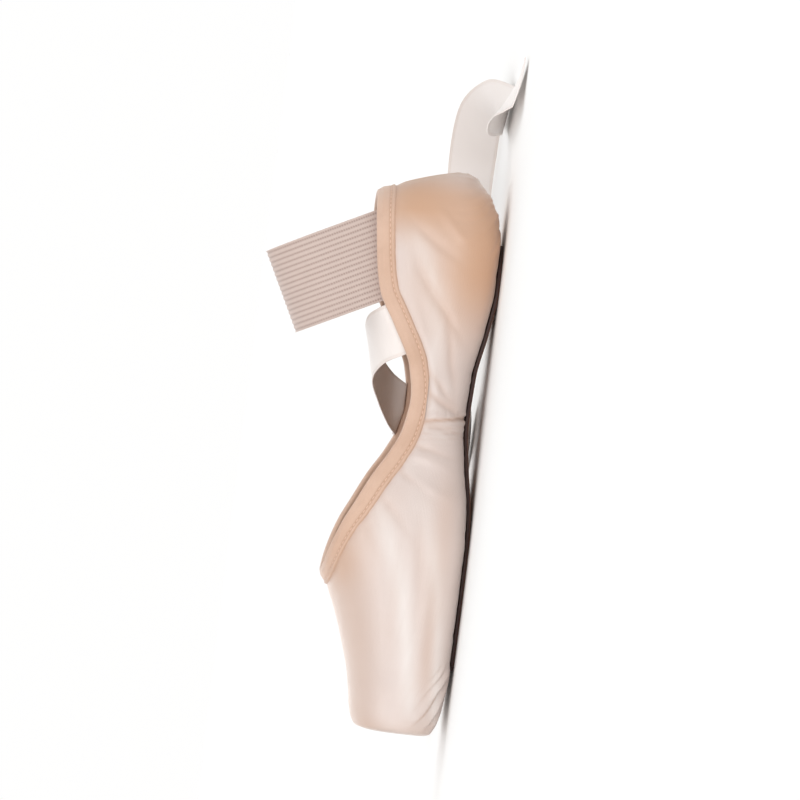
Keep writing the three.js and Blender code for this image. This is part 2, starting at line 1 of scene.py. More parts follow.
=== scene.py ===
import math

import bmesh
import bpy
import numpy as np
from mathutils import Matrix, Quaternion, Vector
from mathutils.kdtree import KDTree


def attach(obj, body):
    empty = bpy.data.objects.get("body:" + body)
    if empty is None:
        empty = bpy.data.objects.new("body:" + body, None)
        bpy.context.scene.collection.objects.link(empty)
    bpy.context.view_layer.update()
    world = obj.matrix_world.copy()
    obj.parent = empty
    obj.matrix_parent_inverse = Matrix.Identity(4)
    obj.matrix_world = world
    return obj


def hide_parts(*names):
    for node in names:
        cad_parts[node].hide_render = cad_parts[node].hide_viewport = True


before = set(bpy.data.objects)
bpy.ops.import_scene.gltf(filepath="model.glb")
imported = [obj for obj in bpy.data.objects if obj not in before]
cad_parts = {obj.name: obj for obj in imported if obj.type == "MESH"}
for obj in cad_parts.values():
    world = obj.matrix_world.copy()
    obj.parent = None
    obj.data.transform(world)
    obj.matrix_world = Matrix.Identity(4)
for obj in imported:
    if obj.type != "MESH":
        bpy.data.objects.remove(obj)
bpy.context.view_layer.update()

MM = 0.001

# Sizes, as the solids have them
LENGTH = 234.0
PLATFORM_WIDTH = 46.0
BOX_WIDTH = 59.0
BALL_WIDTH = 76.0
WAIST_WIDTH = 57.0
HEEL_WIDTH = 56.0
PLATFORM_HEIGHT = 26.0
BOX_HEIGHT = 37.0
INSTEP_HEIGHT = 56.5
ANKLE_HEIGHT = 69.0
HEEL_BULGE_HEIGHT = 18.0
TOE_SPRING = 4.0
ARCH_LIFT = 6.0
BOX_WALL = 3.2
QUARTER_WALL = 1.6
OUTSOLE_THICKNESS = 1.8
OUTSOLE_BEVEL = 0.7
INSOLE_THICKNESS = 1.8
FIT_GAP = 0.3
CLOTH_GAP = 0.9
OUTSOLE_LENGTH = 178.0
OUTSOLE_SETBACK = 28.0
OUTSOLE_TOE_WIDTH = 38.0
OUTSOLE_BALL_WIDTH = 48.0
OUTSOLE_WAIST_WIDTH = 26.0
OUTSOLE_HEEL_WIDTH = 31.0
THROAT_SETBACK = 62.0
THROAT_HEIGHT = 59.4
COLLAR_LOW_HEIGHT = 31.0
COLLAR_HEEL_HEIGHT = 54.5
BINDING_WIDTH = 7.0
BINDING_THROAT_WIDTH = 4.4
BINDING_RAISE = 0.5
ELASTIC_WIDTH = 36.0
ELASTIC_THICKNESS = 1.2
ELASTIC_SETBACK = 195.0
ELASTIC_LEAN = 27.0
ELASTIC_RISE = 42.0
ELASTIC_SEWN_DEPTH = 12.0
ELASTIC_SQUARENESS = 2.2
RIBBON_WIDTH = 22.0
RIBBON_THICKNESS = 0.8
RIBBON_SETBACK = 166.0
RIBBON_SEWN_DEPTH = 18.0
RIBBON_CROSSING_SETBACK = 133.0
SEAT = OUTSOLE_THICKNESS + FIT_GAP

LAST_COLUMNS = ("at", "half", "flat", "under", "widest", "top", "low", "high")

# Sections of the closed last: a width, three heights, and rows of shares of them.
LAST_GROUPS = (
    (PLATFORM_WIDTH, TOE_SPRING, PLATFORM_HEIGHT, PLATFORM_HEIGHT, [(0, 0.5, 0.3, 1.5, 0.5, 1, 2.5, 2.5)]),
    (BOX_WIDTH, TOE_SPRING, BOX_HEIGHT, BOX_HEIGHT, [
        (0.004, 0.45, 0.27, 1.1, 0.42, 0.84, 2.5, 2.5),
        (0.015, 0.474, 0.29, 0.8, 0.43, 0.92, 2.5, 2.45),
        (0.034, 0.49, 0.31, 0.55, 0.44, 0.985, 2.5, 2.4),
        (0.065, 0.505, 0.34, 0.3, 0.44, 1.045, 2.5, 2.35),
    ]),
    (BALL_WIDTH, ARCH_LIFT, INSTEP_HEIGHT, INSTEP_HEIGHT, [
        (0.12, 0.435, 0.28, 0, 0.3, 0.76, 2.5, 2.3),
        (0.19, 0.47, 0.31, 0, 0.3, 0.86, 2.5, 2.25),
        (0.265, 0.495, 0.335, 0, 0.3, 1, 2.5, 2.2),
    ]),
    (BALL_WIDTH, ARCH_LIFT, INSTEP_HEIGHT, ANKLE_HEIGHT, [(0.33, 0.5, 0.335, 0, 0.28, 0.93, 2.5, 2.2)]),
    (BALL_WIDTH, ARCH_LIFT, ANKLE_HEIGHT, ANKLE_HEIGHT, [(0.4, 0.478, 0.29, 0.14, 0.25, 0.98, 2.4, 2.2)]),
    (WAIST_WIDTH, ARCH_LIFT, ANKLE_HEIGHT, ANKLE_HEIGHT, [
        (0.48, 0.56, 0.3, 0.62, 0.25, 1, 2.2, 2.2),
        (0.56, 0.512, 0.245, 0.96, 0.25, 1, 2.1, 2.2),
        (0.64, 0.495, 0.245, 0.86, 0.26, 1, 2.1, 2.25),
    ]),
    (HEEL_WIDTH, ARCH_LIFT, ANKLE_HEIGHT, ANKLE_HEIGHT, [
        (0.72, 0.492, 0.27, 0.36, 0.28, 1, 2.1, 2.3),
        (0.8, 0.5, 0.295, 0, 0.29, 1, 2.1, 2.3),
    ]),
    (HEEL_WIDTH, HEEL_BULGE_HEIGHT, HEEL_BULGE_HEIGHT, ANKLE_HEIGHT, [
        (0.87, 0.494, 0.29, 0, 1.08, 0.98, 2.05, 2.3),
        (0.915, 0.462, 0.2, 0.06, 1, 0.9, 2, 2.25),
        (0.949, 0.4, 0.12, 0.22, 0.84, 0.71, 2, 2.15),
        (0.975, 0.305, 0.06, 0.45, 0.6, 0.46, 2, 2.05),
        (0.992, 0.18, 0.03, 0.7, 0.32, 0.22, 2, 2),
        (1, 0.06, 0.01, 0.9, 0.1, 0.06, 2, 2),
    ]),
)
LAST = np.array([
    share * np.array([1, width, width, under, widest, top, 1, 1])
    for width, under, widest, top, rows in LAST_GROUPS for share in np.array(rows)
])


def scaled(groups):
    """A table of places and sizes, from groups of a size and its shares."""
    return np.array([(at, share * size) for size, rows in groups for at, share in rows])


OUTSOLE = scaled([  # at, half width
    (OUTSOLE_TOE_WIDTH, [(0, 0.39), (0.012, 0.47), (0.04, 0.505)]),
    (OUTSOLE_BALL_WIDTH, [(0.13, 0.47), (0.24, 0.5), (0.33, 0.46), (0.42, 0.37)]),
    (OUTSOLE_WAIST_WIDTH, [(0.51, 0.555), (0.6, 0.5), (0.69, 0.5)]),
    (OUTSOLE_HEEL_WIDTH, [(0.78, 0.46), (0.87, 0.5), (0.93, 0.47), (0.97, 0.37), (0.992, 0.21), (1, 0.07)]),
])

COLLAR = scaled([  # at, height
    (THROAT_HEIGHT, [(-0.06, 1.05), (0, 1), (0.055, 0.965), (0.125, 0.9), (0.18, 0.825), (0.245, 0.735)]),
    (COLLAR_LOW_HEIGHT, [(0.31, 1.2), (0.37, 1.06), (0.445, 1), (0.52, 1.07)]),
    (COLLAR_HEEL_HEIGHT, [(0.62, 0.77), (0.695, 0.9), (0.8, 0.965), (0.93, 1), (1.1, 1)]),
])


def read(values, place):
    """Values of a table's column at places between its rows, smooth and without overshoot."""
    values = np.asarray(values, float)
    place = np.asarray(place, float)
    last = len(values) - 1
    index = np.clip(np.floor(place).astype(int), 0, last - 1)
    steps = np.diff(values)
    product = steps[:-1] * steps[1:]
    total = np.where(product > 0, steps[:-1] + steps[1:], 1)
    slope = np.concatenate([steps[:1], np.where(product > 0, 2 * product / total, 0), steps[-1:]])
    t = place - index
    rise = steps[index]
    a = slope[index]
    b = slope[index + 1]
    return values[index] + t * (a + t * (3 * rise - 2 * a - b + t * (a + b - 2 * rise)))


FINE = np.linspace(0, len(LAST) - 1, 20001)
FINE_AT = read(LAST[:, 0], FINE)
COLLAR_FINE = np.linspace(0, len(COLLAR) - 1, 8001)
COLLAR_AT = read(COLLAR[:, 0], COLLAR_FINE)
OUTSOLE_FINE = np.linspace(0, len(OUTSOLE) - 1, 8001)
OUTSOLE_AT = read(OUTSOLE[:, 0], OUTSOLE_FINE)


def x_of(share):
    return (share - 0.5) * LENGTH


def place_of(x):
    return np.interp(np.asarray(x) / LENGTH + 0.5, FINE_AT, FINE)


def section(place):
    s = {name: read(LAST[:, i], place) for i, name in enumerate(LAST_COLUMNS)}
    s["x"] = x_of(s["at"])
    s["under"] = SEAT + s["under"]
    s["widest"] = s["under"] + s["widest"]
    s["top"] = s["under"] + s["top"]
    return s


def wall_at(x):
    return BOX_WALL + (QUARTER_WALL - BOX_WALL) * smoothstep(np.asarray(x) / LENGTH + 0.5, 0.18, 0.36)


def collar_height(x):
    along = (np.asarray(x) - x_of(0) - THROAT_SETBACK) / (LENGTH - THROAT_SETBACK)
    return read(COLLAR[:, 1], np.interp(along, COLLAR_AT, COLLAR_FINE))


def smoothstep(value, low, high):
    t = np.clip((np.asarray(value, float) - low) / (high - low), 0, 1)
    return t * t * (3 - 2 * t)


def bell(value, width):
    return np.exp(-(value / width) ** 2)


def line_below_collar():
    """The lower edge of the binding in the side view, as x and z columns, by rising x."""
    place = np.linspace(0, len(COLLAR) - 1, 1200)
    x = x_of(0) + THROAT_SETBACK + read(COLLAR[:, 0], place) * (LENGTH - THROAT_SETBACK)
    z = read(COLLAR[:, 1], place)
    dx, dz = np.gradient(x), np.gradient(z)
    drop = BINDING_THROAT_WIDTH + (BINDING_WIDTH - BINDING_THROAT_WIDTH) * smoothstep(place, 1, 5)
    drop /= np.hypot(dx, dz)
    lower = np.stack([x + dz * drop, z - dx * drop])
    return lower[:, np.argsort(lower[0])]


LOWER_X, LOWER_Z = line_below_collar()


def lower_height(x):
    return np.interp(x, LOWER_X, LOWER_Z)


def half_width(x, z, inset):
    """Half width of the last at a height, less an inset measured square to its wall."""
    def plain(px, pz):
        s = section(place_of(px))
        up = np.clip((pz - s["widest"]) / (s["top"] - s["widest"]), 0, 1)
        down = np.clip((s["widest"] - pz) / (s["widest"] - s["under"]), 0, 1)
        above = s["half"] * (1 - up ** s["high"]) ** (1 / s["high"])
        below = s["flat"] + (s["half"] - s["flat"]) * (1 - down ** s["low"]) ** (1 / s["low"])
        return np.where(pz >= s["widest"], above, below)
    x = np.asarray(x, float)
    z = np.asarray(z, float)
    slope_x = (plain(x + 1, z) - plain(x - 1, z)) / 2
    slope_z = (plain(x, z + 1) - plain(x, z - 1)) / 2
    return plain(x, z) - inset * np.sqrt(1 + slope_x ** 2 + slope_z ** 2)


def dense_half_ring(s, i):
    """One half section from under the middle of the foot to over it, finely, as y and z."""
    flat = np.linspace(0, s["flat"][i], 24)[:-1]
    a = np.linspace(math.pi / 2, 0, 90)[:-1]
    low = 2 / s["low"][i]
    high = 2 / s["high"][i]
    lower_y = s["flat"][i] + (s["half"][i] - s["flat"][i]) * np.maximum(np.cos(a), 0) ** low
    lower_z = s["widest"][i] - (s["widest"][i] - s["under"][i]) * np.sin(a) ** low
    b = np.linspace(0, math.pi / 2, 160)
    upper_y = s["half"][i] * np.maximum(np.cos(b), 0) ** high
    upper_z = s["widest"][i] + (s["top"][i] - s["widest"][i]) * np.sin(b) ** high
    y = np.concatenate([flat, lower_y, upper_y])
    z = np.concatenate([np.full(len(flat), s["under"][i]), lower_z, upper_z])
    return y, z


def reach_to(y, z, height):
    """Arc length along a half section, up to a height above its widest place or to its top."""
    arc = np.concatenate([[0], np.cumsum(np.hypot(np.diff(y), np.diff(z)))])
    start = int(np.argmax(y))
    if z[-1] <= height:
        return arc, arc[-1]
    return arc, float(np.interp(height, z[start:], arc[start:]))


def closing_x(height_at, low, high):
    """Where the last's top line crosses a line in the side view."""
    def above(x):
        return float(section(place_of(x))["top"] - height_at(x))
    sign = above(low) > 0
    for _ in range(50):
        middle = (low + high) / 2
        if (above(middle) > 0) == sign:
            low = middle
        else:
            high = middle
    return (low + high) / 2


def closing_places(line):
    """Where a line in the side view meets the last's top line, at the throat and at the heel."""
    return closing_x(line, x_of(0.15), x_of(0.35)), closing_x(line, x_of(0.9), x_of(0.99))


def stations(step, lines):
    """Places along the last, evenly spaced over its surface and finer where a cut edge closes."""
    s = section(FINE)
    zero = np.zeros(len(FINE))
    spread = zero
    for y, z in ((zero, s["under"]), (zero, s["top"]), (s["half"], s["widest"])):
        d = np.sqrt(np.gradient(s["x"]) ** 2 + np.gradient(y) ** 2 + np.gradient(z) ** 2)
        spread = np.maximum(spread, np.where(z < 64, d, np.abs(np.gradient(s["x"]))))
    arc = np.cumsum(spread)
    places = list(np.interp(np.linspace(arc[0], arc[-1], int((arc[-1] - arc[0]) / step)), arc, FINE))
    for line in lines:
        front, back = closing_places(line)
        for edge, way in ((front, 1), (back, -1)):
            places += [float(place_of(edge + way * 0.035 * k * k)) for k in range(12)]
    places = np.unique(np.round(places, 6))
    return places[np.concatenate([[True], np.diff(places) > 2e-5])]


def path_slopes(points):
    """Directions along a path or a grid's rows, which may be unevenly spaced."""
    step = np.diff(points, axis=0)
    size = np.maximum(np.linalg.norm(step, axis=-1, keepdims=True), 1e-9)
    slope = step / size
    middle = (slope[1:] * size[:-1] + slope[:-1] * size[1:]) / (size[1:] + size[:-1])
    return np.concatenate([slope[:1], middle, slope[-1:]])


def unit(vectors):
    return vectors / np.maximum(np.linalg.norm(vectors, axis=-1, keepdims=True), 1e-9)


def grid_normals(points):
    """Outward directions at a grid of points on one half; at the middle line they stay in its plane."""
    normals = unit(np.cross(np.gradient(points, axis=1), path_slopes(points)))
    normals[:, 0, 1] = 0
    return normals


def arc_lengths(points):
    return np.concatenate([[0], np.cumsum(np.linalg.norm(np.diff(points, axis=0), axis=1))])


def half_skin(places, low_line, high_line, columns):
    """Points of the +Y half between two heights in the side view; None means under the foot."""
    s = section(places)
    points = np.zeros((len(places), columns, 3))
    girth = np.zeros((len(places), columns))
    for i, x in enumerate(s["x"]):
        y, z = dense_half_ring(s, i)
        arc, end = reach_to(y, z, high_line(x))
        start = reach_to(y, z, low_line(x))[1] if low_line else 0.0
        girth[i] = np.linspace(start, end, columns)
        points[i, :, 0] = x
        points[i, :, 1] = np.interp(girth[i], arc, y)
        points[i, :, 2] = np.interp(girth[i], arc, z)
    return points, girth


def shut(points, moved):
    """A half skin's moved points, brought back to the middle where the skin closes."""
    moved[:, 0, 1] = 0
    moved[points[:, -1, 1] < 1e-6, -1, 1] = 0
    return moved


def add_mesh(name, vertices, faces, uv=None, attributes=None, merge=None):
    """A mesh object from millimetre points, in the row's frame."""
    mesh = bpy.data.meshes.new(name)
    mesh.from_pydata((np.asarray(vertices) * MM).tolist(), [], faces)
    if uv is not None:
        layer = mesh.uv_layers.new(name="UVMap")
        loops = np.empty(len(mesh.loops), dtype=np.int32)
        mesh.loops.foreach_get("vertex_index", loops)
        layer.data.foreach_set("uv", np.asarray(uv, np.float32)[loops].ravel())
    for key, values in (attributes or {}).items():
        layer = mesh.attributes.new(key, "FLOAT", "POINT")
        layer.data.foreach_set("value", np.asarray(values, np.float32).ravel())
    if merge is not None:
        work = bmesh.new()
        work.from_mesh(mesh)
        bmesh.ops.remove_doubles(work, verts=work.verts, dist=merge * MM)
        work.to_mesh(mesh)
        work.free()
    mesh.validate()
    mesh.polygons.foreach_set("use_smooth", [True] * len(mesh.polygons))
    mesh.update()
    obj = bpy.data.objects.new(name, mesh)
    bpy.context.scene.collection.objects.link(obj)
    return obj


def grid_faces(rows, columns, offset=0, flip=False, wrap=False):
    i = np.arange(rows - 1)[:, None]
    j = np.arange(columns if wrap else columns - 1)[None, :]
    a = offset + i * columns + j
    b = offset + i * columns + (j + 1) % columns
    quads = np.stack([a, b, b + columns, a + columns], axis=-1).reshape(-1, 4)
    return (quads[:, ::-1] if flip else quads).tolist()


def tube_faces(rows, count, offset=0):
    """Faces of a grid that is closed round, with a cap at both ends."""
    ends = [list(range(count)), list(range((rows - 1) * count, rows * count))[::-1]]
    return grid_faces(rows, count, offset, wrap=True) + [[offset + k for k in end] for end in ends]


def both_halves(right, left):
    """Vertices and faces of a right half grid and its left twin, wound outwards."""
    rows, columns = right.shape[:2]
    faces = grid_faces(rows, columns) + grid_faces(rows, columns, rows * columns, flip=True)
    return np.concatenate([right.reshape(-1, 3), left.reshape(-1, 3)]), faces


def both_uv(along, girth):
    return np.concatenate([np.stack([along, way * girth], -1).reshape(-1, 2) for way in (1, -1)])


# The camera keeps the photograph's side view, rolled so that the toe points down.
CAMERA_AIM = Vector((0.020, 0.0, 0.035))
CAMERA_DISTANCE = 2.3
CAMERA_ELEVATION = 2.2
CAMERA_AZIMUTH = 0.0
CAMERA_ROLL = -83.0
CAMERA_LENS = 248.0

camera_data = bpy.data.cameras.new("camera")
camera_data.lens = CAMERA_LENS
camera_data.sensor_width = 36
camera_data.clip_start = 0.05
camera_data.clip_end = 60
camera = bpy.data.objects.new("camera", camera_data)
bpy.context.scene.collection.objects.link(camera)
azimuth = math.radians(CAMERA_AZIMUTH)
elevation = math.radians(CAMERA_ELEVATION)
back = Vector((
    math.sin(azimuth) * math.cos(elevation),
    -math.cos(azimuth) * math.cos(elevation),
    math.sin(elevation),
))
camera.location = CAMERA_AIM + back * CAMERA_DISTANCE
camera.rotation_mode = "QUATERNION"
turn = (-back).to_track_quat("-Z", "Y")
camera.rotation_quaternion = turn @ Quaternion((0, 0, 1), math.radians(CAMERA_ROLL))
bpy.context.scene.camera = camera


class Look:
    """A procedural material, with short calls for its nodes."""

    def __init__(self, name, colour, roughness):
        self.material = bpy.data.materials.new(name)
        self.material.use_nodes = True
        self.tree = self.material.node_tree
        self.shader = self.tree.nodes["Principled BSDF"]
        self.set(Base_Color=colour, Roughness=roughness)

    def put(self, socket, value):
        if isinstance(value, bpy.types.NodeSocket):
            self.tree.links.new(value, socket)
        elif value is not None:
            colour = socket.type == "RGBA" and len(value) == 3
            socket.default_value = (*value, 1) if colour else value

    def set(self, **values):
        for key, value in values.items():
            self.put(self.shader.inputs[key.replace("_", " ")], value)

    def node(self, kind, vector=None, **values):
        node = self.tree.nodes.new(kind)
        for key, value in values.items():
            if hasattr(node, key):
                setattr(node, key, value)
            else:
                node.inputs[key.replace("_", " ")].default_value = value
        if vector is not None:
            self.put(node.inputs["Vector"], vector)
        return node

    def coordinates(self, kind):
        return self.node("ShaderNodeTexCoord").outputs[kind]

    def mapped(self, vector, scale, turn=0.0):
        return self.node("ShaderNodeMapping", vector, Scale=scale, Rotation=(0, 0, turn)).outputs["Vector"]

    def split(self, vector):
        return self.node("ShaderNodeSeparateXYZ", vector).outputs

    def noise(self, vector, scale, detail=4.0, roughness=0.5):
        node = self.node("ShaderNodeTexNoise", vector, Scale=scale, Detail=detail, Roughness=roughness)
        return node.outputs["Fac"]

    def wave(self, vector, way, scale, distortion, **values):
        node = self.node(
            "ShaderNodeTexWave", vector, wave_type="BANDS", bands_direction=way, Scale=scale,
            Distortion=distortion, **values,
        )
        return node.outputs["Fac"]

    def ramp(self, value, stops):
        ramp = self.node("ShaderNodeValToRGB")
        elements = ramp.color_ramp.elements
        while len(elements) < len(stops):
            elements.new(0.5)
        for element, (place, colour) in zip(elements, stops):
            element.position = place
            element.color = (*colour, 1)
        self.put(ramp.inputs["Fac"], value)
        return ramp.outputs["Color"]

    def math(self, operation, *values):
        node = self.node("ShaderNodeMath", operation=operation)
        for socket, value in zip(node.inputs, values):
            self.put(socket, value)
        return node.outputs[0]

    def times(self, a, b):
        return self.math("MULTIPLY", a, b)

    def mix(self, factor, a, b):
        node = self.node("ShaderNodeMix", data_type="RGBA")
        for i, value in ((0, factor), (6, a), (7, b)):
            self.put(node.inputs[i], value)
        return node.outputs[2]

    def attribute(self, name):
        return self.node("ShaderNodeAttribute", attribute_name=name).outputs["Fac"]

    def bump(self, height, strength, distance, under=None):
        bump = self.node("ShaderNodeBump", Strength=strength, Distance=distance)
        self.put(bump.inputs["Height"], height)
        self.put(bump.inputs["Normal"], under)
        return bump.outputs["Normal"]

    def fed(self, name):
        """What already feeds one of the shader's sockets."""
        return self.shader.inputs[name].links[0].from_socket


def wear(obj, look):
    obj.data.materials.append(look.material)
    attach(obj, "root")


# The satin's colour; its shade colour, for painted shade in the folds and for random cloudy tone; its painted
# highlight colour; its painted tan shade colour.
SATIN = (0.622, 0.533, 0.498)
SATIN_SHADE = (0.50, 0.325, 0.235)
SATIN_HIGHLIGHT = (0.735, 0.69, 0.66)
SATIN_TAN_SHADE = (0.53, 0.31, 0.19)


def satin_look(name, colour, shade, light, tan_shade_colour, threads):
    """Satin: a fine lengthwise weave, a soft gloss, painted shade in its folds, painted highlights and painted
    tan shade.
    """
    look = Look(name, colour, 0.36)
    uv, place = look.coordinates("UV"), look.coordinates("Object")
    cloud = look.noise(place, 38.0, 4.0, 0.55)
    fine = look.noise(place, 420.0, 3.0, 0.6)
    fold, painted_highlight, tan_shade, soil = map(look.attribute, ("fold", "painted_highlight", "tan_shade", "soil"))
    # Mixed into the colour in turn: random cloudy tone, painted tan shade, painted highlights, painted shade in
    # the folds, then dirt.
    tint = look.mix(look.times(cloud, 0.22), colour, shade)
    tint = look.mix(tan_shade, tint, tan_shade_colour)
    tint = look.mix(painted_highlight, tint, light)
    tint = look.mix(look.times(fold, 0.8), tint, shade)
    grime = look.times(soil, look.math("MULTIPLY_ADD", fine, 0.7, 0.25))
    rough = look.math("MULTIPLY_ADD", soil, 0.3, look.math("MULTIPLY_ADD", fine, 0.16, 0.27))
    weave = look.wave(uv, "Y", threads, 1.2, Detail_Scale=3.0)
    streak = look.noise(look.mapped(uv, (0.035, 1, 1)), 1.6, 3.0, 0.6)
    normal = look.bump(streak, 0.4, 0.00014, look.bump(weave, 0.3, 0.00006))
    look.set(
        Base_Color=look.mix(grime, tint, (0.33, 0.22, 0.16)), Roughness=rough, Sheen_Weight=0.12,
        Sheen_Roughness=0.4, Anisotropic=0.6, Specular_IOR_Level=0.75,
        Tangent=look.node("ShaderNodeTangent", direction_type="UV_MAP", uv_map="UVMap").outputs[0],
        Normal=look.bump(cloud, 0.2, 0.0006, normal),
    )
    return look


def cotton_look(name, colour, shade, threads, bump=0.35):
    """Plain weave cotton."""
    look = Look(name, colour, 0.85)
    uv = look.coordinates("UV")
    cloud = look.noise(look.coordinates("Object"), 45.0, 5.0, 0.6)
    weave = look.math("MAXIMUM", look.wave(uv, "X", threads, 0.6), look.wave(uv, "Y", threads, 0.6))
    tint = look.mix(look.times(cloud, 0.9), colour, shade)
    gaps = look.times(look.math("SUBTRACT", 1.0, weave), 0.55)
    normal = look.bump(cloud, 0.3, 0.0008, look.bump(weave, bump, 0.00012))
    look.set(Base_Color=look.mix(gaps, tint, shade), Normal=normal, Sheen_Weight=0.3)
    return look


def waves(value, seed, scale):
    """A smooth repeatable ripple of one number, between -1 and 1."""
    value = np.asarray(value, float) / scale
    return (np.sin(value + seed) + 0.6 * np.sin(2.17 * value + 1.7 * seed)
            + 0.35 * np.sin(3.71 * value + 2.9 * seed)) / 1.95


TOE_PLEAT_REACH = 27.0
HEEL_GATHER_START = 204.0
HIGHLIGHT_BANDS = np.array([  # painted highlight bands on the satin: s, height, half width and strength along each
    [[6, 15.5, 3.2, 0.25], [14, 17, 3.4, 0.8], [34, 20.5, 3.8, 1.0], [58, 26, 4.4, 1.0], [80, 34, 5.2, 0.8],
     [98, 42, 5.5, 0.35], [108, 46, 5, 0]],
    [[5, 5, 1.7, 0.5], [14, 6, 2.2, 1.0], [34, 8, 2.5, 0.95], [58, 11, 3.0, 0.75], [80, 17, 4.2, 0.5],
     [100, 24, 5, 0.3], [116, 28, 5, 0]],
    [[136, 26, 3, 0], [142, 28, 5, 0.7], [150, 27, 5, 0.6], [166, 24, 4.5, 0.45], [184, 27, 4.5, 0.6],
     [200, 34, 4.5, 0.5], [216, 40, 6, 0]],
])
GLINTS = np.array([  # s, height, radius and strength of the painted highlight spots by the side seam
    [131.5, 31.0, 3.0, 0.9],
    [136.0, 25.0, 3.6, 0.5],
    [124.5, 17.0, 3.0, 0.35],
    [144.0, 16.0, 4.0, 0.3],
])
CREASES = np.array([  # s, height, tilt, half length, half width and lift of each worn crease
    [132, 30, 82, 17, 1.3, -0.6],
    [135, 25, 78, 15, 1.7, 0.55],
    [140, 20, 66, 12, 1.5, -0.6],
    [143, 29, 60, 12, 2, 0.6],
    [148, 22, 48, 13, 1.7, -0.5],
    [153, 26, 32, 14, 2.1, 0.5],
    [158, 17, 18, 15, 1.9, -0.45],
    [121, 30, 84, 16, 1.4, -0.5],
    [116, 24, 75, 14, 1.9, 0.4],
    [111, 34, 62, 13, 1.6, -0.42],
    [104, 20, 72, 11, 2.2, 0.35],
    [97, 38, 48, 15, 2, -0.35],
    [86, 44, 33, 14, 2.4, -0.3],
    [168, 31, 24, 15, 2.4, 0.35],
    [176, 21, 44, 12, 2, -0.4],
    [187, 30, 36, 12, 2.2, -0.35],
    [197, 40, 16, 14, 2.6, 0.3],
    [206, 30, 62, 12, 2.2, -0.4],
    [212, 22, 50, 10, 2.2, 0.35],
    [72, 20, 10, 22, 2.6, -0.3],
    [52, 29, 7, 24, 3.4, -0.25],
    [44, 12, 9, 22, 2.6, -0.28],
    [30, 21, 7, 18, 3.6, 0.22],
])


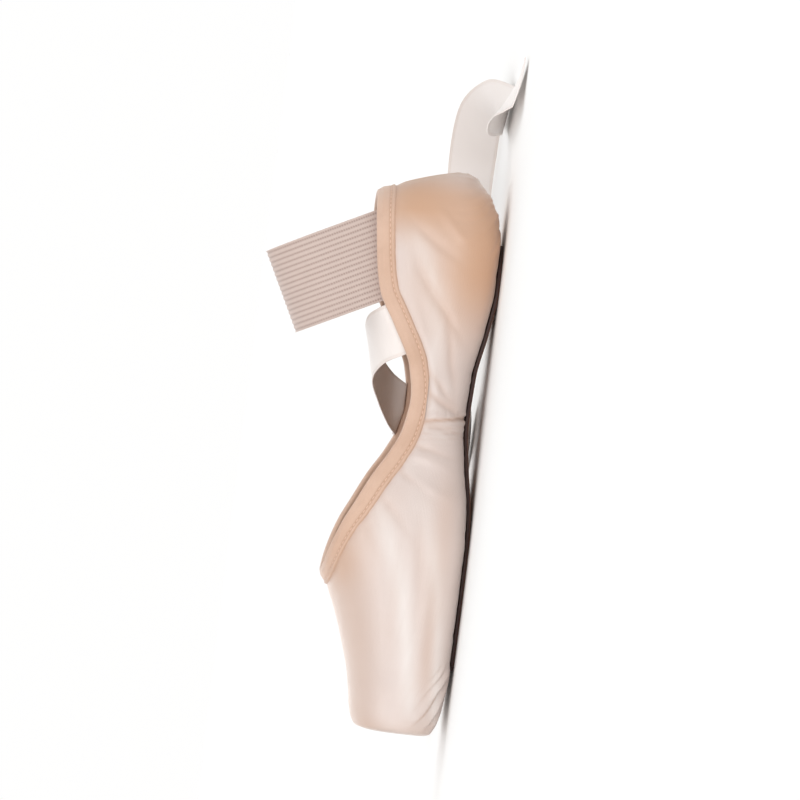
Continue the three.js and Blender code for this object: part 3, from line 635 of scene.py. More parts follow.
def satin_relief(x, y, z, girth, side):
    """Height of the satin over the plain last in millimetres, and the marks that colour it: painted shade in the
    folds, dirt, painted highlights and painted tan shade.
    """
    s = x - x_of(0)
    across = side * girth
    sideways = side * y
    relief = np.zeros_like(x)
    # The fold mark is painted shade, darkest in the pleats, gathers, seams and creases and under the band.
    fold = np.zeros_like(x)
    # Pleats under the toe fan from the end of the outsole to the edge of the platform.
    under = 1 - smoothstep(girth, 24, 37)
    reach = smoothstep(s, 1.0, 7.0) * (1 - smoothstep(s, TOE_PLEAT_REACH, TOE_PLEAT_REACH + 5))
    fan = across / (0.74 + 0.26 * np.clip(1 - s / 30, 0, 1))
    pleat = fan / 5.4 + 0.25 * waves(s, 2.0, 9.0) + 0.35 * waves(fan, 0.7, 7.0)
    saw = pleat - np.floor(pleat)
    ridge = np.where(saw < 0.78, smoothstep(saw, 0.0, 0.78), 1 - smoothstep(saw, 0.78, 1.0))
    deep = under * reach
    relief += deep * (1.5 * ridge - 0.75)
    fold += deep * (1 - smoothstep(np.abs(saw - 0.94), 0.0, 0.17)) * 1.1
    fold += 0.5 * bell(s - 27.5, 2.2) * (1 - smoothstep(girth, 17, 22))
    # Small gathers run in under the outsole along both its sides.
    edge = outsole_half(x)
    outside = girth - edge
    beside = bell(outside - 2.5, 4.0) * smoothstep(s, 34, 44) * (1 - smoothstep(s, 196, 206))
    comb = waves(s, 1.0 + side, 2.6) * waves(s, 4.0, 11.0)
    relief += 0.32 * beside * comb
    fold += 0.22 * beside * smoothstep(-comb, 0.1, 0.9)
    # Gathers under the heel, across the foot, fading up its back.
    heel = smoothstep(s, HEEL_GATHER_START - 8, HEEL_GATHER_START + 4) * (1 - smoothstep(z, 12, 26))
    swell = waves(np.hypot(s - 196, sideways * 0.8) + 1.5 * waves(sideways, 1.3, 9.0), 0.4, 1.15)
    relief += 0.42 * heel * swell
    fold += 0.4 * heel * smoothstep(-swell, 0.2, 0.9)
    # Seams: one on each side at the waist, drawn up in fine puckers, and one down the back of the heel.
    off = s - (128.0 + 0.16 * (36 - z) + 0.3 * waves(z, 1.0, 8.0))
    sides = smoothstep(girth, edge - 2, edge + 1)
    groove = bell(off, 0.62) * sides
    relief += -0.75 * groove + 0.6 * bell(off + 1.6, 0.9) * sides
    relief += 0.35 * bell(off - 1.5, 1.0) * sides
    fold += 1.0 * groove
    bend = off + 0.5 * waves(z, 0.3, 5.0)
    lines = np.cos(2 * math.pi * bend / 2.3) * sides
    near = bell(off + 5.0, 4.0) * (0.65 + 0.35 * waves(z, 2.0, 6.0))
    relief += 0.27 * lines * near
    fold += 0.45 * near * smoothstep(-lines, 0.3, 1.0)
    pucker = waves(z, 2.2, 1.1) * bell(off - 2.2, 2.4) * sides
    relief += 0.17 * pucker
    heel_back = smoothstep(s, 205, 214)
    back_seam = bell(y, 0.5) * heel_back
    relief += -0.5 * back_seam + 0.35 * bell(np.abs(y) - 1.7, 1.1) * heel_back
    fold += 0.7 * back_seam
    # Broad worn creases, placed one by one.
    for at, height, tilt, length, width, lift in CREASES:
        tilt = math.radians(tilt + 5 * side)
        ds = s - at - 1.6 * side
        dz = z - height
        along = ds * math.cos(tilt) + dz * math.sin(tilt)
        off_line = -ds * math.sin(tilt) + dz * math.cos(tilt) + 0.6 * waves(along, at, 9.0)
        shape = np.exp(-(along / length) ** 2 - (off_line / width) ** 2) * smoothstep(girth, 8, 20)
        relief += 1.35 * lift * shape
        fold += max(-lift, 0) * 0.6 * shape
    # The cloth is pulled a little uneven over the whole box and vamp.
    relief += 0.14 * waves(sideways + 0.6 * z, 0.3, 9.0) * waves(s, 1.9, 24.0)
    # The band that is sewn on draws the satin in.
    below = np.maximum(lower_height(x) - z, 0)
    tight = bell(below, 1.6)
    relief *= smoothstep(below, 0, 4.5)
    relief += -0.28 * tight + 0.1 * tight * waves(s, 0.9, 1.2)
    fold += 0.35 * bell(below, 0.8)
    # Dirt gathers round the platform and where the toe rubs the floor.
    soil = 0.34 * bell(s, 2.2) * (0.5 + 0.5 * waves(sideways + z, 1.0, 6.0))
    soil += 0.3 * under * bell(s - 3, 7.0) + 0.12 * (1 - smoothstep(z, 2, 7))
    # Painted highlights run in bands along the box, the vamp and the quarters and in spots by the side seam, less
    # in the folds.
    painted_highlight = np.zeros_like(x)
    for band in HIGHLIGHT_BANDS:
        at = band[:, 0]
        middle = np.interp(s, at, band[:, 1]) + 0.8 * waves(s, 1.0 + side, 14.0)
        width = np.interp(s, at, band[:, 2])
        strength = np.interp(s, at, band[:, 3], left=0, right=0)
        painted_highlight += strength * np.exp(-np.abs((z - middle) / width) ** 1.7)
    for at, height, radius, strength in GLINTS:
        spot = ((s - at) / radius) ** 2 + ((z - height) / (1.3 * radius)) ** 2
        painted_highlight += strength * np.exp(-spot)
    streak = waves(girth + 0.05 * s, 3.0, 1.6)
    painted_highlight = painted_highlight * (0.86 + 0.14 * streak) - 0.35 * fold
    # Painted tan shade lies low on the heel, along the vamp by the band, round the edge of the instep, a little
    # by the platform and between the painted highlight bands.
    high = z + 2.5 * waves(sideways, 1.1, 12.0)
    hidden = np.maximum(smoothstep(s, 221, 233), 1 - smoothstep(girth, edge - 2, edge + 10))
    tan_shade = smoothstep(s, 150, 194) * (1 - smoothstep(high, 8, 48)) * (0.95 - 0.6 * hidden)
    tan_shade += 0.85 * smoothstep(s, 197, 217) * smoothstep(high, 14, 42)
    tan_shade += 0.25 * bell(below, 9.0) * smoothstep(s, 50, 66) * (1 - smoothstep(s, 84, 108))
    tan_shade += 0.42 * smoothstep(z, 22 + s * 0.12, 40 + s * 0.2) * (1 - smoothstep(s, 66, 90))
    tan_shade += 0.14 * bell(s, 5.0)
    tan_shade += 0.22 * bell(z - 12, 5) * smoothstep(s, 8, 30) * (1 - smoothstep(s, 90, 120))
    # The marks: painted shade in the folds, dirt, painted highlights and painted tan shade.
    marks = {"fold": fold, "soil": soil, "painted_highlight": painted_highlight * 0.62, "tan_shade": tan_shade}
    return relief, {name: np.clip(mark, 0, 1) for name, mark in marks.items()}


def tucked_height(x):
    """The satin's cut edge, a little way up under the band."""
    return lower_height(x) + 1.2


UPPER_STEP = 0.85
UPPER_COLUMNS = 118
PLATFORM_RINGS = (1, 0.985, 0.96, 0.9, 0.8, 0.65, 0.45, 0.22)
PLATFORM_DIP = 0.35


def build_upper():
    points, girth = half_skin(stations(UPPER_STEP, [tucked_height]), None, tucked_height, UPPER_COLUMNS)
    rows, columns = girth.shape
    normals = grid_normals(points)
    made, found = [], []
    for side in (1, -1):
        relief, marks = satin_relief(*np.moveaxis(points, -1, 0), girth, side)
        made.append(shut(points, points + normals * relief[..., None]) * (1, side, 1))
        found.append(marks)
    vertices, faces = both_halves(*made)
    half = rows * columns

    def ring_at(start):
        return [*range(start, start + columns), *range(half + start + columns - 2, half + start, -1)]

    def onward(ring):
        return ring[1:] + ring[:1]

    # The flat platform, as rings that shrink to its middle, and the small end of the heel.
    toe, tail = ring_at(0), ring_at(half - columns)
    rim, end = vertices[toe], vertices[tail].mean(0)
    centre = rim.mean(0)
    angle = np.arctan2(rim[:, 2] - centre[2], rim[:, 1] - centre[1])
    count = len(rim)
    added = []
    previous = toe
    for share in PLATFORM_RINGS:
        ring = centre + (rim - centre) * share
        if share < 1:
            ring[:, 0] = x_of(0) - PLATFORM_DIP * (1 - share) ** 0.5 + 0.1 * (1 - share) * waves(angle, 1.0, 1.0)
        start = len(vertices) + len(added) * count
        current = list(range(start, start + count))
        faces += [list(face) for face in zip(onward(previous), previous, current, onward(current))]
        added.append(ring)
        previous = current
    hub = len(vertices) + len(PLATFORM_RINGS) * count
    faces += [[a, b, hub] for a, b in zip(onward(previous), previous)]
    faces += [[a, b, hub + 1] for a, b in zip(tail, onward(tail))]
    added = np.concatenate([*added, [[x_of(0) - PLATFORM_DIP, 0, centre[2]], [end[0] + 0.1, 0, end[2]]]])
    flat_uv = added[:, [2, 1]] + 500
    flat_uv[-1] = (x_of(1), 0)
    uv = np.concatenate([both_uv(points[..., 0], girth), flat_uv])
    # Over the platform the marks fade to a base: a little dirt and a little painted tan shade.
    fade = np.repeat([share ** 6 for share in PLATFORM_RINGS], count)
    attributes = {}
    for mark in found[0]:
        skin = np.concatenate([marks[mark].ravel() for marks in found])
        base = {"soil": 0.07, "tan_shade": 0.2}.get(mark, 0.0)
        flat = base + (np.tile(skin[toe], len(PLATFORM_RINGS)) - base) * fade
        attributes[mark] = np.concatenate([skin, flat, [base, skin[tail[:columns]].mean()]])
    upper = add_mesh("upper_satin", np.concatenate([vertices, added]), faces, uv, attributes, merge=0.004)
    wear(upper, satin_look("satin", SATIN, SATIN_SHADE, SATIN_HIGHLIGHT, SATIN_TAN_SHADE, 1.9))
    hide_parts("upper")


LINING_STEP = 2.2
LINING_COLUMNS = 46


def build_lining():
    """The inside of the upper: cotton over the box and the quarters."""
    points, girth = half_skin(stations(LINING_STEP, [collar_height]), None, collar_height, LINING_COLUMNS)
    x = points[..., 0]
    ripple = 0.132 * waves(x, 0.7, 6.0) * waves(girth, 2.0, 7.0)
    moved = shut(points, points - grid_normals(points) * (wall_at(x) + ripple)[..., None])
    moved[..., 1] = np.maximum(moved[..., 1], 0)
    vertices, faces = both_halves(moved, moved * (1, -1, 1))
    faces = [face[::-1] for face in faces]
    lining = add_mesh("upper_lining", vertices, faces, both_uv(x, girth), merge=0.004)
    wear(lining, cotton_look("lining", (0.63, 0.45, 0.34), (0.42, 0.26, 0.18), 1.3))


# The collar's binding is a tape folded over the edge, with its row of stitches.
BINDING = (0.80, 0.585, 0.465)
BINDING_SHADE = (0.48, 0.28, 0.18)
BINDING_STEP = 0.9
BINDING_COLUMNS = 15
STITCH_LINE = 0.27
# Pitch, length and thickness of the stitches on the binding, along the sole and round its toe end.
BINDING_STITCH = (2.3, 1.7, 0.42)
SOLE_STITCH = (4.4, 3.3, 0.72)
TOE_STITCH = (3.6, 3.1, 0.72)


def binding_lift(across, along):
    """Height of the tape's outer face over the last, from its lower edge to the rim."""
    lift = 1.12 * smoothstep(across, -0.04, 0.12) - 0.5
    lift += 0.42 * bell(across - 0.68, 0.2)
    groove = bell(across - STITCH_LINE, 0.055)
    lift += groove * (-0.34 + 0.16 * waves(along, 0.3, 0.36))
    return lift + 0.07 * waves(along, 2.0, 2.3) * smoothstep(across, 0.1, 0.5)


def build_binding():
    places = stations(BINDING_STEP, [lower_height, collar_height])
    x = section(places)["x"]
    front, back = closing_places(lower_height)
    places = places[(x >= front - 1e-6) & (x <= back + 1e-6)]
    columns = BINDING_COLUMNS
    points, girth = half_skin(places, lower_height, collar_height, columns)
    # Normals come from the whole skin, which is smooth where the band is narrow.
    whole, whole_girth = half_skin(places, None, collar_height, 200)
    whole_normals = grid_normals(whole)
    normals = unit(np.array([
        np.stack([np.interp(girth[i], whole_girth[i], whole_normals[i, :, axis]) for axis in range(3)], -1)
        for i in range(len(places))
    ]))
    x, z = points[..., 0], points[..., 2]
    low, high = lower_height(x), collar_height(x)
    across = np.clip((z - low) / np.maximum(high - low, 1e-6), 0, 1)
    rim, rim_normal = points[:, -1], normals[:, -1]
    length = arc_lengths(rim)[:, None]
    # The rows where the two sides meet over the foot; past them there is no rim, only the outer face.
    closed = rim[:, 1] < 1e-6
    open_rows = np.nonzero(~closed)[0]
    first, last = open_rows[0] - 1, open_rows[-1] + 1
    mirror = rim * (1, -1, 1)
    path = np.concatenate([mirror[first + 1:first + 2], rim[first:last + 1], mirror[last - 1:last]])
    tangent = np.zeros_like(rim)
    tangent[first:last + 1] = unit(path_slopes(path)[1:-1])
    plain = closed.copy()
    plain[[first, last]] = False
    up = np.cross(tangent, rim_normal)
    up = unit(up * np.sign(up[:, 2:] + 1e-9))
    wall = wall_at(rim[:, 0])[:, None]
    # The fold over the rim and the face inside it, the same on both sides.
    rest = []
    for degrees in (20, 45, 70, 95, 120, 145, 165):
        a = math.radians(degrees)
        reach = (wall / 2 + 0.62) * math.cos(a) - wall / 2
        rest.append(rim + rim_normal * reach + up * (0.85 * math.sin(a)))
    for step in range(1, columns, 2):
        depth = wall + 0.5 - 0.35 * smoothstep(step / (columns - 1), 0.75, 1.0)
        rest.append(points[:, columns - 1 - step] - normals[:, columns - 1 - step] * depth)
    rest = np.stack(rest, 1)
    made, stitches = [], []
    for side in (1, -1):
        lift = binding_lift(across, length + 50 * side)
        outer = points + normals * lift[..., None]
        strip = np.concatenate([outer, rest], 1)
        strip[plain, columns:] = outer[plain, -1:]
        strip[closed, columns - 1:columns + 8, 1] = 0
        made.append(strip * (1, side, 1))
        line = []
        for i in np.nonzero(across[:, -1] >= STITCH_LINE)[0]:
            g = np.interp(STITCH_LINE, across[i], np.arange(columns))
            j = int(min(g, columns - 2))
            f = g - j
            line.append([(grid[i, j] * (1 - f) + grid[i, j + 1] * f) * (1, side, 1) for grid in (outer, normals)])
        stitches += along_path(line, BINDING_STITCH[0])
    rows, total = made[0].shape[:2]
    vertices = np.concatenate([strip.reshape(-1, 3) for strip in made])
    single = plain[:-1] | plain[1:]
    faces = []
    for half, flip in ((0, False), (1, True)):
        for n, face in enumerate(grid_faces(rows, total, half * rows * total, flip)):
            if not (single[n // (total - 1)] and n % (total - 1) >= columns - 1):
                faces.append(face)
    u, v = np.meshgrid(length[:, 0], np.arange(total) * 0.5, indexing="ij")
    uv = np.concatenate([np.stack([u + shift, v], -1).reshape(-1, 2) for shift in (0, 700)])
    # The fold mark is painted shade along the stitched groove and the tape's lower edge; it darkens the tape
    # toward its shade colour.
    fold = np.zeros((rows, total))
    fold[:, :columns] = bell(across - STITCH_LINE, 0.07) + bell(across, 0.05)
    fold = np.clip(np.tile(fold.ravel(), 2), 0, 1)
    binding = add_mesh("collar_binding_tape", vertices, faces, uv, {"fold": fold}, merge=0.01)
    look = cotton_look("binding_tape", BINDING, BINDING_SHADE, 1.5, 0.5)
    fold = look.times(look.attribute("fold"), 0.8)
    look.set(Base_Color=look.mix(fold, look.fed("Base Color"), BINDING_SHADE), Roughness=0.6)
    wear(binding, look)
    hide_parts("collar_binding")
    thread = Look("binding_thread", (0.72, 0.5, 0.385), 0.6)
    build_stitches("binding_stitches", stitches, BINDING_STITCH, thread)


def along_path(path, pitch):
    """Evenly spaced places on a path of points and normals, each with its direction."""
    points, normals = np.moveaxis(np.array(path), 1, 0)
    arc = arc_lengths(points)

    def at(place, values):
        return np.array([np.interp(place, arc, column) for column in values.T])

    found = []
    for middle in (np.arange(int(arc[-1] / pitch)) + 0.5) * pitch:
        place = at(middle, points)
        found.append((place, at(middle + 0.4, points) - place, unit(at(middle, normals))))
    return found


def build_stitches(name, stitches, kind, look):
    """Short rounded stitches, each given by its middle, direction and normal, as one mesh."""
    _, size, thickness = kind
    sides, rings = 6, 4
    t = np.linspace(-1, 1, rings + 1)[:, None, None]
    girth = np.sqrt(np.maximum(1 - np.abs(t) ** 2.6, 0.02)) * thickness / 2
    a = (2 * math.pi * np.arange(sides) / sides)[None, :, None]
    vertices, faces = [], []
    for at, along, normal in stitches:
        along = unit(along - normal * along.dot(normal))
        across = np.cross(normal, along)
        stitch = at + along * t * size / 2 + (across * np.cos(a) + normal * np.sin(a)) * girth
        faces += tube_faces(rings + 1, sides, len(vertices) * stitch.size // 3)
        vertices.append(stitch.reshape(-1, 3))
    wear(add_mesh(name, np.concatenate(vertices), faces), look)


# The leather outsole, with its stitches in a groove.
OUTSOLE_START = x_of(0) + OUTSOLE_SETBACK
STITCH_INSET = 3.2
STITCH_DEPTH = 0.42
OUTSOLE_ROWS = 430
OUTSOLE_COLUMNS = 121
TOE_BARS_REACH = 36


def outsole_half(x):
    share = np.clip((np.asarray(x) - OUTSOLE_START) / OUTSOLE_LENGTH, 0, 1)
    return read(OUTSOLE[:, 1], np.interp(share, OUTSOLE_AT, OUTSOLE_FINE))


def outsole_bottom(x):
    return section(place_of(x))["under"] - FIT_GAP - OUTSOLE_THICKNESS


def nearest(points):
    tree = KDTree(len(points))
    for i, point in enumerate(points):
        tree.insert((point[0], point[1], 0), i)
    tree.balance()
    return tree


def outsole_inset(inset):
    """The outsole's outline, drawn in by a margin, as x and y from its toe end round."""
    place = np.linspace(0, len(OUTSOLE) - 1, 1500)
    x = OUTSOLE_START + read(OUTSOLE[:, 0], place) * OUTSOLE_LENGTH
    half = read(OUTSOLE[:, 1], place)
    front = np.linspace(0, half[0], 60)[:-1]
    back = np.linspace(half[-1], 0, 12)[1:]
    right = np.concatenate([
        np.stack([np.full(len(front), x[0]), front], -1),
        np.stack([x, half], -1),
        np.stack([np.full(len(back), x[-1]), back], -1),
    ])
    outline = np.concatenate([right, right[::-1][1:-1] * np.array([1, -1])])
    step = np.roll(outline, -1, 0) - np.roll(outline, 1, 0)
    step /= np.maximum(np.linalg.norm(step, axis=1, keepdims=True), 1e-9)
    inside = outline + np.stack([step[:, 1], -step[:, 0]], -1) * inset
    tree = nearest(outline)
    keep = [tree.find((px, py, 0))[2] > inset - 0.06 for px, py in inside]
    return inside[np.array(keep)]


def build_outsole():
    place = np.linspace(0, len(OUTSOLE) - 1, OUTSOLE_ROWS)
    x = OUTSOLE_START + read(OUTSOLE[:, 0], place) * OUTSOLE_LENGTH
    half = read(OUTSOLE[:, 1], place)
    bottom = outsole_bottom(x)
    stitch_line = outsole_inset(STITCH_INSET)
    tree = nearest(stitch_line)
    bevel = np.minimum(OUTSOLE_BEVEL, half / 2)
    inner = half - bevel
    columns = OUTSOLE_COLUMNS
    y = np.linspace(-1, 1, columns) * inner[:, None]
    across = np.broadcast_to(x[:, None], y.shape)
    margin = np.minimum(half[:, None] - np.abs(y), np.minimum(x - x[0], x[-1] - x)[:, None])
    far = [tree.find((px, py, 0))[2] for px, py in zip(across.ravel(), y.ravel())]
    sewn = bell(np.array(far).reshape(y.shape), 0.55)
    scuff = 0.05 * waves(across * 0.9 + y * 0.4, 0.5, 3.1) * waves(y, 1.7, 4.3)
    face = np.stack([across, y, bottom[:, None] + np.maximum(scuff, 0) + 0.03 + 0.38 * sewn], -1)
    side = np.stack([
        np.stack([x, inner + bevel * out, bottom + lift], -1)
        for lift, out in ((0.3, 0.72), (0.8, 1.0), (1.3, 1.0), (OUTSOLE_THICKNESS - 0.08, 0.93))
    ], 1)
    top = np.stack([x, 0 * x, bottom + OUTSOLE_THICKNESS], -1)[:, None]
    points = np.concatenate([face, side, top, (side * (1, -1, 1))[:, ::-1]], 1)
    edge, groove = np.ones(points.shape[:2]), np.zeros(points.shape[:2])
    edge[:, :columns] = np.exp(-margin / 0.9)
    edge[:, [columns, -1]] = 0.9
    groove[:, :columns] = sewn
    vertices = points.reshape(-1, 3)
    marks = {"edge": np.clip(edge, 0, 1).ravel(), "groove": groove.ravel()}
    outsole = add_mesh("outsole_leather", vertices, tube_faces(*edge.shape), vertices[:, :2], marks)
    wear(outsole, leather_look())
    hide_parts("outsole")
    # Running stitches a few millimetres inside the edge, and short bars round the toe end.
    running, bars = [], []
    slope = outsole_bottom(stitch_line[:, 0] + 0.5) - outsole_bottom(stitch_line[:, 0] - 0.5)
    for (px, py), rise, deep in zip(stitch_line, slope, outsole_bottom(stitch_line[:, 0])):
        normal = np.array([rise, 0, -1.0]) / math.hypot(rise, 1)
        at = np.array([px, py, deep + STITCH_DEPTH])
        (bars if px < OUTSOLE_START + TOE_BARS_REACH else running).append((at, normal))
    bars.sort(key=lambda bar: math.atan2(bar[0][1], OUTSOLE_START + 40 - bar[0][0]))
    thread = Look("outsole_thread", (0.66, 0.53, 0.39), 0.7)
    found = along_path(running, SOLE_STITCH[0])
    build_stitches("outsole_stitches", found, SOLE_STITCH, thread)
    ladder = [
        (at + np.cross(normal, unit(along)) * 0.2, np.cross(normal, along), normal)
        for at, along, normal in along_path(bars, TOE_STITCH[0])
    ]
    build_stitches("outsole_toe_stitches", ladder, TOE_STITCH, thread)


def leather_look():
    look = Look("outsole_leather", (0.45, 0.2, 0.1), 0.62)
    place = look.coordinates("Object")
    along = look.math("MULTIPLY_ADD", look.split(place)["X"], 1 / 0.178, 0.5)
    base = look.ramp(along, [
        (0.0, (0.47, 0.245, 0.145)), (0.32, (0.54, 0.28, 0.165)),
        (0.62, (0.42, 0.185, 0.095)), (1.0, (0.33, 0.145, 0.07)),
    ])
    cloud = look.noise(place, 55.0, 6.0, 0.62)
    fine = look.noise(place, 900.0, 4.0, 0.65)
    scratch = look.noise(look.mapped(place, (0.25, 1, 1), 0.5), 260.0, 5.0, 0.7)
    scratches = look.ramp(scratch, [(0.55, (0, 0, 0)), (0.68, (1, 1, 1))])
    tint = look.mix(look.ramp(cloud, [(0.35, (0, 0, 0)), (0.75, (0.6, 0.6, 0.6))]), base, (0.27, 0.125, 0.065))
    tint = look.mix(look.times(scratches, 0.35), tint, (0.66, 0.47, 0.36))
    tint = look.mix(look.times(look.attribute("groove"), 0.7), tint, (0.12, 0.05, 0.03))
    tint = look.mix(look.attribute("edge"), tint, (0.045, 0.018, 0.014))
    normal = look.bump(scratch, 0.25, 0.0003, look.bump(fine, 0.35, 0.0002))
    look.set(Base_Color=tint, Roughness=look.math("MULTIPLY_ADD", fine, 0.3, 0.42), Normal=normal)
    return look


def build_insole():
    s = section(np.linspace(4, len(LAST) - 4, 130))
    x, half = s["x"][:, None], (s["flat"] - 2 * FIT_GAP)[:, None]
    bottom = (s["under"] + wall_at(s["x"]) + FIT_GAP)[:, None]
    shares = np.linspace(1, -1, 41)
    crown = 0.18 * (1 - np.abs(shares) ** 6) + 0.06 * waves(x + shares * half, 0.4, 5.0)
    top = bottom + INSOLE_THICKNESS - 0.25 + crown - 0.5 * np.maximum(np.abs(shares) - 0.94, 0) / 0.06
    y = np.concatenate([shares * half, -0.99 * half, 0.99 * half], 1)
    points = np.stack([np.broadcast_to(x, y.shape), y, np.concatenate([top, bottom, bottom], 1)], -1)
    vertices = points.reshape(-1, 3)
    insole = add_mesh("insole_board", vertices, tube_faces(*y.shape), vertices[:, :2])
    wear(insole, cotton_look("insole", (0.60, 0.43, 0.31), (0.36, 0.22, 0.14), 1.1, 0.5))
    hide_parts("insole")


# The elastic over the ankle.
def inside_width(x, z, thickness):
    inset = QUARTER_WALL + BINDING_RAISE + CLOTH_GAP + thickness / 2
    return half_width(x, np.minimum(z, collar_height(x)), inset)


def outside_width(x, z, thickness):
    rise = BINDING_RAISE + CLOTH_GAP + thickness / 2
    return half_width(x, np.minimum(z, collar_height(x)), -rise)


ELASTIC_RIBS = 17
ELASTIC_COLUMNS = 8 * ELASTIC_RIBS + 1


def cloth_strip(rungs, thickness, relief=0.0):
    """A closed strip of cloth from a grid of points, with a height for each point of its faces."""
    normal = unit(np.cross(np.gradient(rungs, axis=0), np.gradient(rungs, axis=1)))
    lift = normal * (np.zeros(rungs.shape[:2]) + thickness / 2 + relief)[..., None]
    ring = np.concatenate([rungs - lift, (rungs + lift)[:, ::-1]], 1)
    u, v = arc_lengths(rungs.mean(1)), arc_lengths(rungs[0])
    uv = np.stack(np.meshgrid(u, np.concatenate([v, v[::-1]]), indexing="ij"), -1)
    return ring.reshape(-1, 3), tube_faces(*ring.shape[:2]), uv.reshape(-1, 2)


def build_elastic():
    lean = math.radians(ELASTIC_LEAN)
    base_x = x_of(0) + ELASTIC_SETBACK
    shares = np.linspace(-0.5, 0.5, ELASTIC_COLUMNS)
    foot_x = base_x + shares * ELASTIC_WIDTH * math.cos(lean)
    foot_z = float(collar_height(base_x)) + shares * ELASTIC_WIDTH * math.sin(lean)
    foot_width = inside_width(foot_x, foot_z, ELASTIC_THICKNESS)
    levels = [(-ELASTIC_SEWN_DEPTH * (1 - i / 12), 1.0) for i in range(12)]
    power = 2 / ELASTIC_SQUARENESS
    for a in np.linspace(0, math.pi / 2, 56):
        levels.append((ELASTIC_RISE * math.sin(a) ** power, max(math.cos(a), 0) ** power))
    rows = []
    for rise, narrowing in levels:
        x = foot_x - rise * math.sin(lean)
        z = foot_z + rise * math.cos(lean)
        y = np.minimum(inside_width(x, z, ELASTIC_THICKNESS), foot_width * narrowing)
        rows.append(np.stack([x, y, z], -1))
    rungs = np.array([row * (1, -1, 1) for row in rows] + rows[-2::-1])
    ribs = np.cos(2 * math.pi * (shares + 0.5) * ELASTIC_RIBS)
    along = np.linspace(0, 400, len(rungs))[:, None]
    relief = -0.22 + 0.2 * ribs + 0.06 * waves(along, 0.4, 3.0) * waves(shares * 40, 1.0, 2.0)
    vertices, faces, uv = cloth_strip(rungs, ELASTIC_THICKNESS, relief)
    valley = (0.5 - 0.5 * ribs) ** 2.5
    valley = np.tile(np.concatenate([valley, valley[::-1]]), len(rungs))
    elastic = add_mesh("elastic_mesh", vertices, faces, uv, {"valley": valley})
    look = Look("mesh_elastic", (0.62, 0.47, 0.42), 0.7)
    cloud = look.noise(look.coordinates("Object"), 60.0, 4.0, 0.6)
    deep = look.attribute("valley")
    net = look.times(look.wave(look.coordinates("UV"), "X", 0.3, 2.5), deep)
    tint = look.mix(look.times(cloud, 0.5), (0.56, 0.45, 0.405), (0.47, 0.36, 0.315))
    # Painted shade in the valleys between the ribs.
    tint = look.mix(look.times(deep, 0.3), tint, (0.33, 0.215, 0.175))
    tint = look.mix(look.times(net, 0.5), tint, (0.15, 0.085, 0.07))
    look.set(Base_Color=tint, Sheen_Weight=0.25, Normal=look.bump(net, 0.6, 0.0003))
    wear(elastic, look)
    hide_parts("elastic_band")


# The ribbons. Each row is x, y, the height of the lower edge, and the yaw and roll of the width.
ACROSS = np.array([-0.5, 0.0, 0.5])
RIBBON_STEPS = 14
RIBBON_COLUMNS = 13
LEFT_CROSSING = [
    (44, -17, 43, 20, 24),
    (37, -4, 47, 28, 12),
    (28, 10, 43, 24, 4),
    (20, 19.5, 37.5, 12, 0),
]
LEFT_FLOOR = [
    (15, 35.5, 13.5, 0, 0),
    (13, 42, 3.5, 6, 0),
    (8, 55, 0, 26, 2),
    (-12, 79, 0, 52, 22),
    (-42, 90, 0, 84, 30),
    (-74, 92, 0, 84, 12),
    (-102, 104, 0, 52, -34),
    (-112, 132, 0, -4, -62),
    (-94, 157, 0, -60, -60),
    (-64, 160, 0, -96, -26),
    (-34, 153, 0, -100, -4),
    (-6, 149, 0, -94, 6),
]
RIGHT_FLOOR = [
    (61, 35, 13, 2, 26),
    (65.5, 40, 5.5, 2, 16),
    (70, 48, 1.5, -4, 7),
    (75, 62, 0, -16, 2),
    (84, 93, 0, -16, -10),
    (97, 123, 0, -36, -44),
    (122, 139, 0, -80, -64),
    (147, 124, 0, -140, -60),
    (153, 95, 0, -176, -26),
    (149, 64, 0, -186, 4),
    (146, 33, 0, -182, 22),
    (150, 3, 0, -168, 26),
    (156, -26, 0, -170, 8),
]
OVER_THE_RIM = [(0.6, 0, 0), (1.5, 0.5, 0), (0.6, 1, 0), (-2, 1, 0.1), (-6, 1, 0.3), (-11, 1, 1)]
SEWN_STEPS = [(-share * RIBBON_SEWN_DEPTH, 0, 0) for share in (1, 0.7, 0.4, 0.15)]


def rim_rungs(side, setback, steps):
    middle = x_of(0) + setback
    slope = float(collar_height(middle + 5) - collar_height(middle - 5)) / 10
    lean = math.atan(slope)
    rungs = []
    for height, reach, swing in steps:
        foot = middle + ACROSS * RIBBON_WIDTH * math.cos(lean)
        x = foot - height * math.sin(lean)
        z = collar_height(foot) + height * math.cos(lean)
        inner = inside_width(x, z, RIBBON_THICKNESS)
        outer = outside_width(x, z, RIBBON_THICKNESS)
        rungs.append(np.stack([x, side * (inner + reach * (outer - inner) + swing), z], -1))
    return rungs


def rung_of(row):
    x, y, edge, yaw, roll = row
    yaw, roll = math.radians(yaw), math.radians(roll)
    over = np.array([math.cos(yaw) * math.cos(roll), math.sin(yaw) * math.cos(roll), math.sin(roll)])
    rise = RIBBON_WIDTH / 2 * abs(math.sin(roll)) + RIBBON_THICKNESS / 2 + FIT_GAP
    middle = np.array([x, y, edge + rise])
    return np.array([middle + over * share * RIBBON_WIDTH for share in ACROSS])


def through(knots, per_knot):
    """A centripetal curve through points, as many steps a knot."""
    knots = np.asarray(knots, float)
    first = knots[0] * 2 - knots[1]
    final = knots[-1] * 2 - knots[-2]
    padded = np.concatenate([[first], knots, [final]])
    out = []
    for i in range(len(knots) - 1):
        gaps = np.maximum(np.linalg.norm(np.diff(padded[i:i + 4], axis=0), axis=1), 1e-6) ** 0.5
        t = np.concatenate([[0], np.cumsum(gaps)])
        for step in range(per_knot):
            at = t[1] + (t[2] - t[1]) * step / per_knot
            level = padded[i:i + 4]
            for low, high in ((t[:3], t[1:]), (t[:2], t[2:]), (t[1:2], t[2:3])):
                level = [
                    (b - at) / (b - a) * p + (at - a) / (b - a) * q
                    for a, b, p, q in zip(low, high, level, level[1:])
                ]
            out.append(level[0])
    out.append(knots[-1])
    return np.array(out)


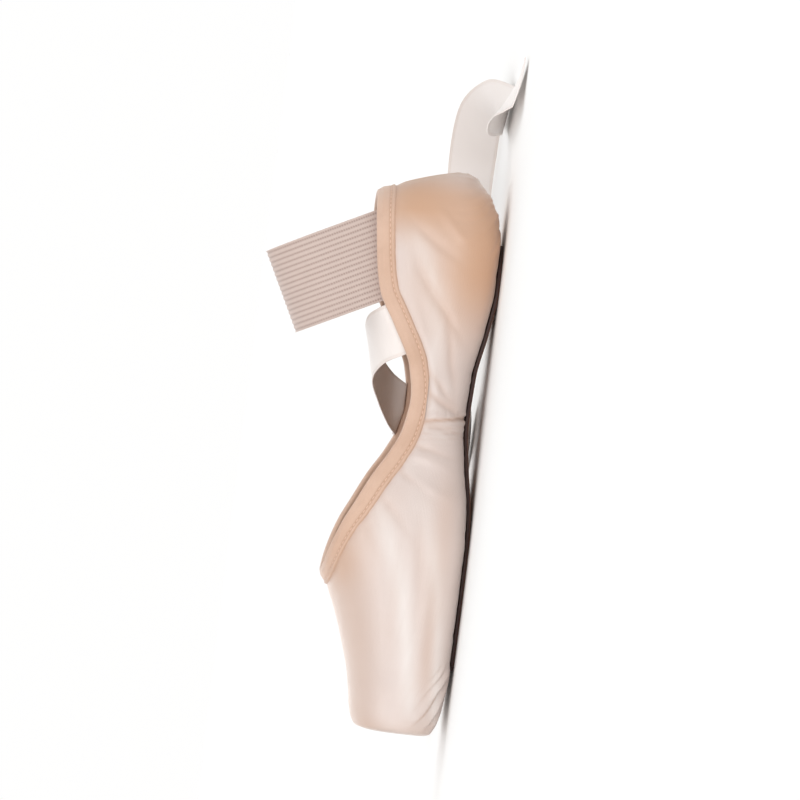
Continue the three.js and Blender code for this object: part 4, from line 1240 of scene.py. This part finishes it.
def ribbon_look():
    look = satin_look(
        "ribbon_satin", (0.79, 0.735, 0.705), (0.62, 0.5, 0.44), (0.82, 0.78, 0.76), (0.66, 0.56, 0.5), 1.6,
    )
    uv = look.coordinates("UV")
    from_middle = look.math("ABSOLUTE", look.math("SUBTRACT", look.split(uv)["Y"], RIBBON_WIDTH / 2))
    selvedge = look.math("DIVIDE", from_middle, RIBBON_WIDTH / 2)
    selvedge = look.ramp(selvedge, [(0.87, (0, 0, 0)), (0.9, (1, 1, 1))])
    tint = look.mix(look.times(selvedge, 0.35), look.fed("Base Color"), (0.68, 0.585, 0.53))
    ribbed = look.bump(look.wave(uv, "X", 0.7, 0.4), 0.25, 0.00006, look.fed("Normal"))
    look.set(Base_Color=tint, Normal=look.bump(selvedge, 0.6, 0.00015, ribbed))
    return look


def build_ribbon(name, node, knots, look):
    knots = np.array(knots)
    lower, middle, upper = (through(knots[:, j], RIBBON_STEPS) for j in range(3))
    columns = RIBBON_COLUMNS
    shares = np.linspace(-1, 1, columns)
    down, up = np.clip(-shares, 0, 1)[:, None], np.clip(shares, 0, 1)[:, None]
    grid = lower[:, None] * down + middle[:, None] * (1 - down - up) + upper[:, None] * up
    arc = arc_lengths(middle)
    normal = unit(np.cross(np.gradient(grid, axis=0), np.gradient(grid, axis=1)))
    normal *= np.sign(normal[..., 2:] + 1e-6)
    free = smoothstep(arc, 60, 100) * (1 - smoothstep(middle[:, 2], 6, 14))
    cup = 0.9 * shares ** 2 + 0.35 * waves(arc, 1.1, 9.0)[:, None] * shares ** 3
    ripple = 0.5 * (1 + waves(arc, 0.4, 12.0))[:, None] * (0.5 + 0.5 * shares)
    grid += normal * ((cup + ripple) * free[:, None])[..., None]
    vertices, faces, uv = cloth_strip(grid, RIBBON_THICKNESS * 0.45)
    selvedge = np.zeros((len(grid), columns * 2))
    selvedge[:, [0, columns - 1, columns, -1]] = 0.3
    ribbon = add_mesh(name, vertices, faces, uv, {"fold": selvedge.ravel()})
    ribbon.data.set_sharp_from_angle(angle=math.radians(40))
    wear(ribbon, look)
    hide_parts(node)


build_upper()
build_lining()
build_binding()
build_outsole()
build_insole()
build_elastic()

ribbon_finish = ribbon_look()
left_sewn = rim_rungs(-1, RIBBON_SETBACK, SEWN_STEPS + [(2, 0, 0)])
left_rim = rim_rungs(1, RIBBON_CROSSING_SETBACK, OVER_THE_RIM)
left_knots = left_sewn + [rung_of(row) for row in LEFT_CROSSING] + left_rim
left_knots += [rung_of(row) for row in LEFT_FLOOR]
right_sewn = rim_rungs(1, RIBBON_SETBACK, SEWN_STEPS + OVER_THE_RIM)
right_knots = right_sewn + [rung_of(row) for row in RIGHT_FLOOR]
build_ribbon("ribbon_left_satin", "ribbon_left", left_knots, ribbon_finish)
build_ribbon("ribbon_right_satin", "ribbon_right", right_knots, ribbon_finish)

# Light and floor.
def sun_light(name, toward, angle, strength):
    """A soft light from far off, from the way given."""
    data = bpy.data.lights.new(name, "SUN")
    data.angle = math.radians(angle)
    data.energy = strength
    lamp = bpy.data.objects.new(name, data)
    lamp.rotation_mode = "QUATERNION"
    lamp.rotation_quaternion = Vector(toward).to_track_quat("Z", "Y")
    bpy.context.scene.collection.objects.link(lamp)


sun_light("key", (-0.3, -1.0, 0.42), 34, 1.4)
sun_light("top", (0.35, 0.1, 1.0), 60, 0.6)
sun_light("back", (-0.2, 1.0, 0.5), 60, 0.7)

world = bpy.data.worlds.new("studio")
world.use_nodes = True
sky = world.node_tree
direction = sky.nodes.new("ShaderNodeTexCoord")
split = sky.nodes.new("ShaderNodeSeparateXYZ")
fade = sky.nodes.new("ShaderNodeValToRGB")
fade.color_ramp.elements[0].position = 0.22
fade.color_ramp.elements[0].color = (1.0, 0.998, 0.995, 1)
fade.color_ramp.elements[1].position = 0.9
fade.color_ramp.elements[1].color = (0.48, 0.478, 0.475, 1)
sky.links.new(direction.outputs["Generated"], split.inputs[0])
sky.links.new(split.outputs["Z"], fade.inputs["Fac"])
sky.links.new(fade.outputs["Color"], sky.nodes["Background"].inputs["Color"])
sky.nodes["Background"].inputs["Strength"].default_value = 1.0
bpy.context.scene.world = world
bpy.context.scene.view_settings.view_transform = "Standard"

floor_mesh = bpy.data.meshes.new("floor")
floor_mesh.from_pydata([(-9, -9, 0), (9, -9, 0), (9, 9, 0), (-9, 9, 0)], [], [(0, 1, 2, 3)])
floor = bpy.data.objects.new("floor", floor_mesh)
bpy.context.scene.collection.objects.link(floor)
floor_look = Look("floor", (0.93, 0.93, 0.925), 0.9)
floor_look.set(Specular_IOR_Level=0.1)
floor_mesh.materials.append(floor_look.material)
